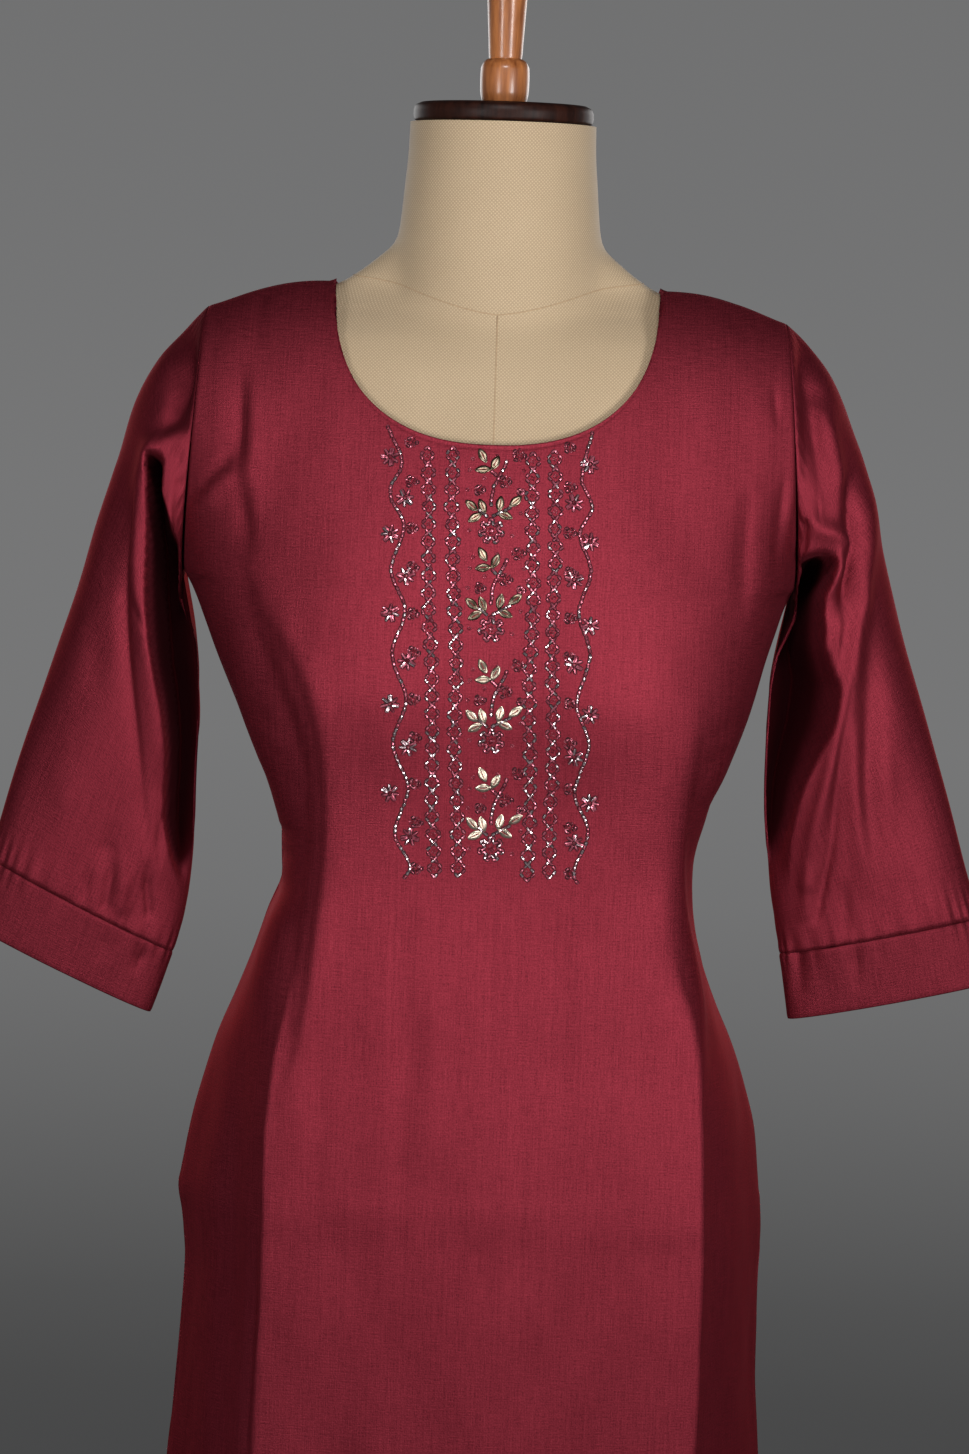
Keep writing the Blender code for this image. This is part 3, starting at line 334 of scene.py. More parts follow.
# Folds on the sides not seen: the same kinds, given as (x, z) in millimetres.
HIDDEN_FOLDS = (
    ("back", "b", ((152, 1300), (156, 1250), (156, 1190), (148, 1120)), (0, 1.5, 1.8, 0), (4, 9), 2),
    ("back", "b", ((-152, 1304), (-157, 1250), (-156, 1196), (-150, 1130)), (0, 1.5, 1.8, 0), (9, 4), 2),
    ("back", "b", ((186, 1215), (170, 1222), (150, 1238), (132, 1262)), (-0.8, -2.2, -2.0, 0), (4, 5), 1.7),
    ("back", "b", ((188, 1200), (170, 1206), (148, 1222), (128, 1246)), (0.6, 2.2, 1.8, 0), (7, 7), 2),
    ("back", "b", ((-187, 1206), (-172, 1214), (-154, 1230), (-140, 1248)), (-0.8, -2.0, -1.6, 0), (4, 5), 1.7),
    ("back", "b", ((-188, 1190), (-172, 1198), (-150, 1214), (-134, 1238)), (0.6, 2.0, 1.8, 0), (7, 7), 2),
    ("back", "b", ((-90, 1336), (-94, 1310), (-92, 1270)), (-0.6, -1.0, 0), (7, 7), 2),
    ("back", "b", ((92, 1336), (90, 1308), (94, 1264)), (-0.6, -1.1, 0), (7, 7), 2),
    ("back", "b", ((60, 1046), (20, 1030), (-26, 1028), (-64, 1042)), (0, 1.6, 1.5, 0), (8, 8), 2),
    ("back", "b", ((84, 1022), (40, 1004), (-16, 1000), (-70, 1014)), (0, -1.8, -2.0, 0), (7, 7), 2),
    ("back", "b", ((74, 988), (30, 972), (-28, 974), (-82, 990)), (0, 2.4, 2.2, 0), (8, 8), 2),
    ("back", "b", ((66, 958), (22, 946), (-30, 946), (-60, 956)), (0, -1.6, -1.8, 0), (7, 7), 2),
    ("back", "b", ((52, 932), (10, 922), (-40, 926)), (0, 1.5, 0), (8, 8), 2),
    ("back", "b", ((132, 1010), (118, 1004), (102, 992)), (-1.6, -1.8, 0), (5, 5), 2),
    ("back", "b", ((-128, 1004), (-112, 996), (-98, 984)), (-1.6, -1.8, 0), (5, 5), 2),
    ("back", "b", ((130, 978), (114, 970), (98, 962)), (-1.4, -1.4, 0), (5, 5), 2),
    ("back", "b", ((-130, 972), (-112, 966), (-96, 954)), (-1.5, -1.4, 0), (5, 5), 2),
    ("back", "b", ((178, 760), (182, 660), (186, 520), (192, 400), (198, 250)), (0, 2.0, 2.6, 2.6, 2.4), (11, 10), 2),
    ("back", "b", ((-176, 760), (-180, 660), (-184, 520), (-190, 400), (-196, 250)), (0, 2.0, 2.6, 2.6, 2.4), (10, 11), 2),
    ("back", "b", ((96, 860), (98, 720), (92, 560), (96, 400), (92, 250)), (0, -1.4, -1.4, -1.8, -2.4), (17, 17), 2),
    ("back", "b", ((30, 820), (26, 680), (34, 520), (26, 380), (30, 250)), (0, 1.5, 1.6, 2.0, 2.8), (19, 19), 2),
    ("back", "b", ((-36, 860), (-40, 700), (-34, 540), (-42, 400), (-36, 250)), (0, -1.4, -1.6, -2.0, -2.6), (18, 18), 2),
    ("back", "b", ((-98, 820), (-94, 660), (-100, 500), (-94, 360), (-98, 250)), (0, 1.4, 1.5, 1.8, 2.6), (17, 17), 2),
    # backs of the sleeves: pulls from the armhole, elbow folds, long soft rolls
    ("right", "b", ((-196, 1238), (-212, 1236), (-224, 1224), (-230, 1196), (-232, 1150), (-228, 1090)), (1.0, 3.0, 4.0, 4.4, 3.6, 0), (7, 7), 2),
    ("right", "b", ((-198, 1216), (-210, 1208), (-216, 1180), (-216, 1140), (-212, 1090)), (-1.0, -3.6, -4.4, -3.8, 0), (7, 6), 2),
    ("right", "b", ((-246, 1200), (-250, 1140), (-256, 1080), (-262, 1030)), (0, -2.2, -2.4, 0), (8, 9), 2),
    ("right", "b", ((-234, 1140), (-240, 1080), (-248, 1010), (-256, 950)), (0, 1.2, 2.2, 0.8), (9, 12), 2),
    ("right", "b", ((-214, 1098), (-230, 1090), (-250, 1068), (-264, 1034)), (0, -1.7, -1.9, 0), (7, 8), 2),
    ("right", "b", ((-216, 1070), (-234, 1062), (-252, 1044)), (0, 1.3, 0), (8, 8), 2),
    ("right", "b", ((-214, 1026), (-228, 1024), (-246, 1008)), (0, -1.1, 0), (6, 8), 2),
    ("left", "b", ((196, 1230), (212, 1228), (224, 1214), (230, 1186), (231, 1140), (226, 1080)), (1.0, 3.0, 4.0, 4.2, 3.4, 0), (7, 7), 2),
    ("left", "b", ((198, 1208), (210, 1200), (217, 1172), (216, 1130), (212, 1080)), (-1.0, -3.4, -4.2, -3.8, 0), (6, 7), 2),
    ("left", "b", ((244, 1208), (250, 1150), (258, 1090), (268, 1030)), (0, -2.2, -2.4, 0), (9, 8), 2),
    ("left", "b", ((242, 1100), (246, 1050), (256, 990), (268, 940)), (0, 1.4, 2.2, 0.6), (12, 9), 2),
    ("left", "b", ((215, 1118), (230, 1106), (246, 1080), (254, 1044)), (0, -1.5, -1.8, 0), (8, 7), 2),
    ("left", "b", ((216, 1052), (236, 1050), (256, 1034), (274, 1004)), (0, 1.4, 1.2, 0), (9, 8), 2),
)
# The deep hollow each sleeve folds into beside the body, seen in the picture:
# its outer edge, and its edge towards the armhole and then the inner outline.
# Painted shade: over the range given as tone, the silk's colour darkens with
# how far a point has sunk into the hollow.
HOLLOWS = {
    "right": {
        "outer": ((150, 460), (149, 490), (148, 520), (147, 560), (147, 602), (151, 660), (161, 712), (165, 761), (164, 814), (169, 850), (182, 890)),
        "inner": ((164, 462), (162, 488), (168, 514), (176, 536), (192, 556), (201, 590), (211, 640), (214, 740), (208, 850), (204, 890)),
        "start": (452, 474), "stop": (815, 895), "lean": 0.20, "deep": 1.85, "tone": (0.08, 0.40),
        # painted shade: the cap beside its seam is painted darker along this line
        "seam_painted_shade": ((211, 316), (202, 346), (197, 376), (190, 402), (180, 420))},
    "left": {
        "outer": ((832, 538), (836, 560), (831, 580), (825, 600), (826, 645), (834, 672), (840, 690), (835, 722), (818, 758), (803, 790), (790, 840)),
        "inner": ((814, 540), (800, 560), (786, 584), (766, 604), (752, 630), (738, 680), (732, 740), (736, 790), (744, 840)),
        "start": (532, 550), "stop": (780, 880), "lean": 0.40, "deep": 1.85, "tone": (0.14, 0.62)},
}


# ------------------------------------------------------------------- helpers
def smooth(xs, ys):
    """Monotone cubic through a table's rows."""
    xs, ys = np.asarray(xs, float), np.asarray(ys, float)
    h = np.diff(xs)
    d = np.diff(ys) / h
    m = np.zeros_like(ys)
    m[0], m[-1] = d[0], d[-1]
    for i in range(1, len(xs) - 1):
        if d[i - 1] * d[i] > 0:
            w1, w2 = 2 * h[i] + h[i - 1], h[i] + 2 * h[i - 1]
            m[i] = (w1 + w2) / (w1 / d[i - 1] + w2 / d[i])

    def at(x):
        x = np.clip(x, xs[0], xs[-1])
        i = np.clip(np.searchsorted(xs, x, side="right") - 1, 0, len(h) - 1)
        t = (x - xs[i]) / h[i]
        return (ys[i] * (1 + 2 * t) * (1 - t) ** 2 + h[i] * m[i] * t * (1 - t) ** 2
                + ys[i + 1] * t * t * (3 - 2 * t) + h[i] * m[i + 1] * t * t * (t - 1))
    return at


def columns(names, rows):
    data = list(zip(*rows))
    return {n: smooth(data[0], c) for n, c in zip(names, data)}


def ramp(a, b, x):
    """0 below a, 1 above b, smooth between."""
    t = np.clip((x - a) / (b - a), 0, 1)
    return t * t * (3 - 2 * t)


def unit(v):
    return v / np.maximum(np.linalg.norm(v, axis=-1, keepdims=True), 1e-9)


body = columns(BODY_COLUMNS, BODY)
full = columns(FULLNESS_COLUMNS, FULLNESS)
trunk_at = columns(TRUNK_COLUMNS, TRUNK)
neck_at = columns(NECK_COLUMNS, NECK)


# --------------------------------------------------------------- body panels
def bust(x, z, amount=BUST_OUT):
    return sum(amount * np.exp(-((x - c) ** 2 + (z - BUST_Z) ** 2) / BUST_R ** 2)
               for c in (-BUST_X, BUST_X))


def lower_row(z, side, panel, c):
    """One level section below the underarm; also the length run along it."""
    w = float(body["right" if side < 0 else "left"](z))
    depth = float(body[panel](z))
    xc = float(body["crease_right" if side < 0 else "crease_left"](z))
    xh = float(body["neck_x"](z))
    k = float(body["crease"](z)) * (1.0 if panel == "front" else 0.85)
    gap = float(body["slit"](z))
    n = float(full[panel](z))

    a = np.linspace(0, math.pi / 2, 361)
    ex, ey = w * np.sin(a) ** (2 / n), depth * np.cos(a) ** (2 / n)
    arc = np.concatenate(([0.0], np.cumsum(np.hypot(np.diff(ex), np.diff(ey)))))
    lh, lc = np.interp(xh, ex, arc), np.interp(xc, ex, arc)
    le = np.interp(-gap, -ey, arc)
    lengths = np.interp(c, (0, 1, 2, 3), (0, lh, lc, le))
    cx, cy = np.interp(lengths, arc, ex), np.interp(lengths, arc, ey)

    yc = depth - CREASE_SET
    px = np.interp(c, (0, 1, 2, 3), (0, xh, xc, w))
    py = np.where(c <= 2, depth - (depth - yc) * (np.minimum(px, xc) / xc) ** 2, 0.0)
    t = np.clip(c - 2, 0, 1)
    run, fall = w - xc, gap - yc
    side_len = math.hypot(run, fall)
    swell = SIDE_BULGE * 4 * t * (1 - t)
    px = np.where(c > 2, xc + run * t - swell * fall / side_len, px)
    py = np.where(c > 2, yc + fall * t + swell * run / side_len, py)

    x = (1 - k) * cx + k * px
    y = (1 - k) * cy + k * py
    wave = np.clip((HEM_WAVE_Z - z) / (HEM_WAVE_Z - HEM_Z), 0, 1) ** 2
    y = y + HEM_WAVE * wave * np.sin(2 * math.pi * side * x / HEM_WAVE_X
                                     + (0.7 if panel == "front" else 2.1)) * (1 - ramp(2.5, 3.0, c))
    sx = side * x
    if panel == "front":
        y = y + bust(sx, z)
        y = -y
    row = np.stack([sx, y, np.full_like(x, z)], axis=-1)
    along = np.concatenate(([0.0], np.cumsum(np.hypot(np.diff(x), np.diff(y)))))
    return row, along


def arm_edge(tau):
    th = math.pi * tau
    return (ARM_X + ARM_SKEW * np.cos(th), ARM_DEPTH * np.sin(th),
            ARM_Z - ARM_HALF * np.cos(th))


def shoulder_swell(x, tau):
    t = np.clip((x - NECK_X) / (SHOULDER_TOP_X[2] - NECK_X), 0, 1)
    return SHOULDER_SWELL * tau ** 6 * np.sin(math.pi * t) * (1.25 - 0.5 * t)


def chest_height(x, tau):
    xe, _, ze = arm_edge(tau)
    mid = UNDERARM_Z + (RIDGE_Z - UNDERARM_Z) * tau
    return mid + (ze - mid) * (x / xe) ** (1.8 - 0.8 * tau) + shoulder_swell(x, tau)


def chest_depth(x, tau, panel):
    xe, ye, _ = arm_edge(tau)
    depth, fall, rnd = CHEST[panel]
    mid = depth * np.maximum(0.0, 1 - tau ** fall) ** rnd + 0.15
    ye = np.maximum(ye, 0.15)
    n = float(full[panel](UNDERARM_Z))
    cut = np.where(tau < 1, (1 - np.minimum(0.999, ye / mid) ** n) ** (1 / n), 0.0)
    y = mid * np.maximum(1 - (cut * x / xe) ** n, 0.0) ** (1 / n)
    return np.where(cut > 0, y, 0.15)


def height_to_tau(x, z):
    lo, hi = np.zeros_like(x), np.ones_like(x)
    for _ in range(30):
        mid = (lo + hi) / 2
        low = chest_height(x, mid) < z
        lo, hi = np.where(low, mid, lo), np.where(low, hi, mid)
    return (lo + hi) / 2


def neckline(panel, c):
    deep = NECK_FRONT if panel == "front" else NECK_BACK
    a = np.linspace(0, math.pi / 2, 361)
    x = NECK_X * np.sin(a) ** (2 / NECK_POWER)
    z = NECK_Z - deep * np.cos(a) ** (2 / NECK_POWER)
    arc = np.concatenate(([0.0], np.cumsum(np.hypot(np.diff(x), np.diff(z)))))
    at = np.asarray(c) * arc[-1]
    return np.interp(at, arc, x), np.interp(at, arc, z)


def upper_row(tau, side, panel, c):
    base = lower_row(UNDERARM_Z, 1, panel, c)[0][:, 0]
    base_h = float(body["neck_x"](UNDERARM_Z))
    xe, ye, ze = (float(v) for v in arm_edge(tau))
    x0e = float(arm_edge(0.0)[0])
    share = ((1 - tau) * base / x0e
             + tau * np.interp(c, (1, 2, 3), SHOULDER_TOP_X) / SHOULDER_TOP_X[2])
    xh = xe * ((1 - tau) * base_h / x0e + tau * SHOULDER_TOP_X[0] / SHOULDER_TOP_X[2])
    zh = float(chest_height(xh, tau))
    rise = (zh - UNDERARM_Z) / (NECK_Z - UNDERARM_Z)
    nx, nz = neckline(panel, np.minimum(c, 1))
    inner = c <= 1
    x = np.where(inner, xh * ((1 - rise) * base / base_h + rise * nx / NECK_X), xe * share)
    z = np.where(inner, UNDERARM_Z + (nz - UNDERARM_Z) * rise, chest_height(x, tau))
    t = np.where(inner, height_to_tau(x, z), tau)
    y = chest_depth(x, t, panel)
    if panel == "front":
        y = y + bust(x, z) * (1 - t) ** 0.5
    return np.stack([side * x, -y if panel == "front" else y, z], axis=-1)


def panel_columns():
    a = np.linspace(0, 1, 32)
    b = 1 + np.linspace(0, 1, 17)[1:] ** 0.9
    d = 2 + np.linspace(0, 1, 25)[1:] ** 1.25
    return np.concatenate([a, b, d])


def panel_grid(panel):
    """Outer face and its cloth coordinates: rows hem to shoulder, -X to +X."""
    c = panel_columns()
    levels = np.concatenate([[242, 243.2, 245], np.arange(249, UNDERARM_Z - 2, 4.95), [UNDERARM_Z]])
    rows, us = [], []
    for z in levels:
        right, ur = lower_row(z, -1, panel, c)
        left, ul = lower_row(z, 1, panel, c)
        rows.append(np.concatenate([right[::-1], left[1:]]))
        us.append(np.concatenate([-ur[::-1], ul[1:]]))
    n_lower = len(rows)
    x_under, u_under = rows[-1][:, 0].copy(), us[-1].copy()
    arm_rows = 46
    for k in range(1, arm_rows + 1):
        tau = k / arm_rows
        row = np.concatenate([upper_row(tau, -1, panel, c)[::-1],
                              upper_row(tau, 1, panel, c)[1:]])
        rows.append(row)
        us.append(np.interp(row[:, 0], x_under, u_under))
    grid = np.array(rows)
    # ease the meeting of the two formulas across the chest
    eased = grid.copy()
    kernel = np.exp(-0.5 * (np.arange(-12, 13) / 5.0) ** 2)
    kernel /= kernel.sum()
    for i in range(n_lower - 20, n_lower + 20):
        w = 1 - ramp(4.0, 20.0, abs(i - n_lower))
        soft = sum(kernel[k + 12] * grid[i + k] for k in range(-12, 13))
        for axis in (0, 1):
            eased[i, :, axis] = grid[i, :, axis] + w * (soft[:, axis] - grid[i, :, axis]) * edge_fade(c)
    uv = np.stack([np.array(us), eased[..., 2]], axis=-1) * MM
    return eased, uv, n_lower


def edge_fade(c):
    half = 1 - ramp(2.75, 3.0, c)
    return np.concatenate([half[::-1], half[1:]])


def grid_normals(grid, closed=False):
    """Unit normals, turned away from the piece's own axis."""
    if closed:
        du = np.roll(grid, -1, axis=1) - np.roll(grid, 1, axis=1)
        centre = np.broadcast_to(grid.mean(axis=1, keepdims=True), grid.shape)
    else:
        du = np.gradient(grid, axis=1)
        centre = grid.copy()
        centre[..., 0] *= 0.35
        centre[..., 1] = 0
    dv = np.gradient(grid, axis=0)
    n = unit(np.cross(du, dv))
    flip = np.sign(np.sum(n * (grid - centre), axis=-1, keepdims=True))
    if closed:                       # one side all over: a hollow must not turn it
        return n * np.sign(np.sum(flip))
    return n * np.where(flip == 0, 1, flip)


# ------------------------------------------------------------------ the folds
def through(points, heights, count=56):
    """A smooth curve through a fold's points, with its height along it."""
    p = np.array([(*q, h) for q, h in zip(points, heights)], float)
    seg = np.hypot(*np.diff(p[:, :2], axis=0).T)
    at = np.concatenate(([0.0], np.cumsum(seg)))
    t = np.linspace(0, at[-1], count)
    out = np.empty((count, 3))
    m = np.gradient(p, at, axis=0)
    i = np.clip(np.searchsorted(at, t, side="right") - 1, 0, len(seg) - 1)
    h = seg[i]
    s = ((t - at[i]) / h)[:, None]
    h = h[:, None]
    out = (p[i] * (1 + 2 * s) * (1 - s) ** 2 + h * m[i] * s * (1 - s) ** 2
           + p[i + 1] * s * s * (3 - 2 * s) + h * m[i + 1] * s * s * (s - 1))
    out[:, 2] = np.interp(t, at, p[:, 2])
    return out


def fold_heights(u, v, curve, widths, power):
    """Height a fold gives at points (u, v); widths right and left going down."""
    out = np.zeros(u.shape)
    reach = 2.6 * max(widths) + 2
    lo, hi = curve[:, :2].min(0) - reach, curve[:, :2].max(0) + reach
    near = (u > lo[0]) & (u < hi[0]) & (v > lo[1]) & (v < hi[1])
    if not near.any():
        return out
    q = np.stack([u[near], v[near]], axis=-1)
    a, b = curve[:-1], curve[1:]
    d = b[:, :2] - a[:, :2]
    length2 = np.maximum((d ** 2).sum(1), 1e-9)
    r = q[:, None, :] - a[None, :, :2]
    t = np.clip((r * d).sum(-1) / length2, 0, 1)
    off = r - t[..., None] * d
    dist = np.hypot(off[..., 0], off[..., 1])
    k = dist.argmin(1)
    idx = np.arange(len(q))
    t, dist = t[idx, k], dist[idx, k]
    cross = d[k, 0] * r[idx, k, 1] - d[k, 1] * r[idx, k, 0]
    h = a[k, 2] + t * (b[k, 2] - a[k, 2])
    w = np.where(cross > 0, widths[0], widths[1])
    out[near] = h * np.exp(-(dist / w) ** power)
    return out


def relief(piece, grid, front):
    """All of a piece's folds; front is how far each point faces the picture."""
    u, v = seen_from_front(grid)
    total = np.zeros(u.shape)
    for name, _, pts, heights, widths, power in FOLDS:
        if name == piece:
            curve = through([seen(*p) for p in pts], heights)
            total += front * fold_heights(u, v, curve, widths, power)
    x, z = grid[..., 0], grid[..., 2]
    for name, _, pts, heights, widths, power in HIDDEN_FOLDS:
        if name == piece:
            curve = through(pts, heights)
            total += (1 - front) * fold_heights(x, z, curve, widths, power)
    return total


def drift(u, v, seed):
    """Slow uneven waves, a fraction of a millimetre each way."""
    rng = np.random.default_rng(seed)
    out = np.zeros_like(u)
    for _ in range(9):
        lu, lv = rng.uniform(38, 110), rng.uniform(70, 220)
        a, b = rng.uniform(0, 2 * math.pi, 2)
        tilt = rng.uniform(-0.25, 0.25)
        out += np.sin(2 * math.pi * (u + tilt * v) / lu + a) * np.sin(2 * math.pi * v / lv + b)
    return out / 3.0


# ---------------------------------------------------------------- mesh making
def make_object(name, verts, faces, mat, uv=None, smooth_shade=True):
    mesh = bpy.data.meshes.new(name)
    mesh.from_pydata([tuple(p) for p in verts], [], [tuple(f) for f in faces])
    mesh.validate()
    if uv is not None:
        layer = mesh.uv_layers.new(name="UVMap")
        idx = np.empty(len(mesh.loops), dtype=np.int32)
        mesh.loops.foreach_get("vertex_index", idx)
        layer.data.foreach_set("uv", np.asarray(uv, dtype=np.float32)[idx].ravel())
    if smooth_shade:
        mesh.shade_smooth()
    for m in (mat if isinstance(mat, (list, tuple)) else [mat]):
        mesh.materials.append(m)
    mesh.update()
    obj = bpy.data.objects.new(name, mesh)
    bpy.context.scene.collection.objects.link(obj)
    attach(obj, "root")
    return obj


def signed_volume(verts, faces):
    v = np.asarray(verts)
    f = np.asarray(faces)
    a, b, c, d = (v[f[:, i]] for i in range(4))
    return float((np.cross(a, b) * c).sum() + (np.cross(a, c) * d).sum()) / 6


def shell(name, outer, inner, mat, uv, closed=False, depth=None):
    """A closed thin wall with rounded edges between two grids (mm)."""
    rows, cols = outer.shape[:2]
    n = rows * cols
    verts = [outer.reshape(-1, 3), inner.reshape(-1, 3)]
    uvs = [uv.reshape(-1, 2), uv.reshape(-1, 2)]
    idx = np.arange(n).reshape(rows, cols)
    if closed:
        nxt = np.roll(idx, -1, axis=1)
        a, b = idx[:-1], nxt[:-1]
        d, e = idx[1:], nxt[1:]
    else:
        a, b = idx[:-1, :-1], idx[:-1, 1:]
        d, e = idx[1:, :-1], idx[1:, 1:]
    sheet = np.stack([a, b, e, d], axis=-1).reshape(-1, 4)
    faces = [sheet, (sheet + n)[:, ::-1]]
    base = 2 * n

    def rim(loop, away, ring):
        """Quads outer edge - bulged middle - inner edge; away points outwards."""
        nonlocal base
        o, i = outer.reshape(-1, 3)[loop], inner.reshape(-1, 3)[loop]
        mid = (o + i) / 2 + unit(away) * np.linalg.norm(o - i, axis=-1, keepdims=True) * 0.22
        verts.append(mid)
        uvs.append(uv.reshape(-1, 2)[loop])
        m = base + np.arange(len(loop))
        base += len(loop)
        nxt = (np.arange(len(loop)) + 1) % len(loop)
        k = np.arange(len(loop) if ring else len(loop) - 1)
        faces.append(np.stack([loop[k], m[k], m[nxt[k]], loop[nxt[k]]], axis=-1))
        faces.append(np.stack([m[k], loop[k] + n, loop[nxt[k]] + n, m[nxt[k]]], axis=-1))

    if closed:
        for i, j in ((0, 1), (rows - 1, rows - 2)):
            loop = idx[i] if i == 0 else idx[i][::-1]
            away = (outer[i] - outer[j])
            rim(loop, away if i == 0 else away[::-1], True)
    else:
        loop = np.concatenate([idx[0, :-1], idx[:-1, -1], idx[-1, :0:-1], idx[:0:-1, 0]])
        flat = outer.reshape(-1, 3)
        inward = np.concatenate([idx[1, :-1], idx[:-1, -2], idx[-2, :0:-1], idx[:0:-1, 1]])
        rim(loop, flat[loop] - flat[inward], True)
    verts = np.concatenate(verts) * MM
    faces = np.concatenate(faces)
    if signed_volume(verts, faces) < 0:
        faces = faces[:, ::-1]
    obj = make_object(name, verts, faces, mat, np.concatenate(uvs))
    # painted shade: depth, when given, is how far each point's colour is darkened
    if depth is not None:
        layer = obj.data.attributes.new("fold_painted_shade", "FLOAT", "POINT")
        values = np.zeros(len(verts), dtype=np.float32)
        values[:n] = values[n:2 * n] = depth.ravel()
        layer.data.foreach_set("value", values)
    return obj


def make_panel(panel, mat):
    grid, uv, n_lower = panel_grid(panel)
    c = panel_columns()
    cc = np.concatenate([c[::-1], c[1:]])[None, :]
    rows = grid.shape[0]
    normal = grid_normals(grid)
    x, z = grid[..., 0], grid[..., 2]
    front = np.ones(x.shape) if panel == "front" else np.zeros(x.shape)
    h = relief(panel, grid, front)
    calm = np.clip((z - 900) / 200, 0, 1)
    h += drift(uv[..., 0] / MM, uv[..., 1] / MM, 11 if panel == "front" else 12) * (0.55 - 0.30 * calm)
    # folds die out at the seams they are sewn into
    row = np.arange(rows)[:, None]
    arm = 1 - ramp(2.80, 3.0, cc) * ((row >= n_lower) * 0.8)
    side = 1 - ramp(2.86, 3.0, cc) * ((row < n_lower) & (z > SLIT_Z - 30)) * 0.9
    top = 1 - ramp(rows - 5, rows - 1, row) * 0.6
    h = h * arm * side * top
    # seams roll under: armhole, side seam above the slit, shoulder
    reach = 3.0 - cc
    roll = np.exp(-(reach / 0.055) ** 2) * np.where((row >= n_lower) | (z > SLIT_Z + 4), 1, 0)
    roll_top = np.exp(-((rows - 1 - row) / 0.9) ** 2) * (cc >= 1.0)
    h -= 0.55 * np.maximum(roll, roll_top)
    # turned hem and slit edges: a faint sewn line
    h -= 0.5 * np.exp(-((z - HEM_Z - 24) / 1.6) ** 2)
    slit = (z < SLIT_Z - 6) & (z > HEM_Z)
    h -= 0.45 * np.exp(-((reach - 0.14) / 0.03) ** 2) * slit
    # the neck's narrow rolled edge and the line it is sewn down on
    from_edge = rows - 1 - row
    h += (0.40 * np.exp(-((from_edge - 0.5) / 0.6) ** 2) - 0.45 * np.exp(-((from_edge - 1.9) / 0.55) ** 2)) * (cc <= 1.0)
    outer = grid + normal * h[..., None]
    n2 = grid_normals(outer)
    inner = outer - n2 * 0.9
    keep = 1.0 if panel == "front" else -1.0
    for edge in (0, -1):                       # stay on their own side of the seams
        inner[:n_lower, edge, 1] = np.where((inner[:n_lower, edge, 1] - outer[:n_lower, edge, 1]) * keep > 0,
                                            outer[:n_lower, edge, 1], inner[:n_lower, edge, 1])
    return shell("kurta_front_cloth" if panel == "front" else "kurta_back_cloth",
                 outer, inner, mat, uv), outer


# -------------------------------------------------------------------- sleeves
def tube_grid(rows_table, s, around):
    at = columns(SLEEVE_COLUMNS, rows_table)
    th = 2 * math.pi * np.arange(around) / around
    grid = []
    for si in s:
        o = np.array([float(at["out_x"](si)), float(at["out_z"](si))])
        b = np.array([float(at["in_x"](si)), float(at["in_z"](si))])
        mid, half = (o + b) / 2, (o - b) / 2
        x = mid[0] - half[0] * np.cos(th)
        z = mid[1] - half[1] * np.cos(th)
        y = -float(at["deep"](si)) * np.sin(th) - float(at["forward"](si))
        grid.append(np.stack([x, y, z], axis=-1))
    deep = np.array([float(at["deep"](si)) for si in s])
    return np.array(grid), th, deep


def hollow_amount(name, u, v):
    """How far each point of the front has sunk into the sleeve's hollow, a
    deep fold whose two walls meet in a line nearer its outer edge."""
    spec = HOLLOWS[name]
    line = {}
    for k in ("outer", "inner"):
        p = np.array([seen(*q) for q in spec[k]])
        order = np.argsort(p[:, 1])
        line[k] = smooth(p[order, 1], np.abs(p[order, 0]))(v)
    z0, z1 = (seen(160, y)[1] for y in spec["start"])
    z2, z3 = (seen(180, y)[1] for y in spec["stop"])
    xo = np.abs(u)
    width = np.maximum(line["outer"] - line["inner"], 6.0)
    wall = np.clip((line["outer"] - xo) / (spec["lean"] * width), 0, 1)
    foot = np.clip((xo - line["inner"]) / ((1 - spec["lean"]) * width), 0, 1)
    both = np.minimum(wall ** 0.9, foot ** 1.0)
    window = (1 - ramp(z1, z0, v)) * ramp(z3, z2, v)
    return both * window


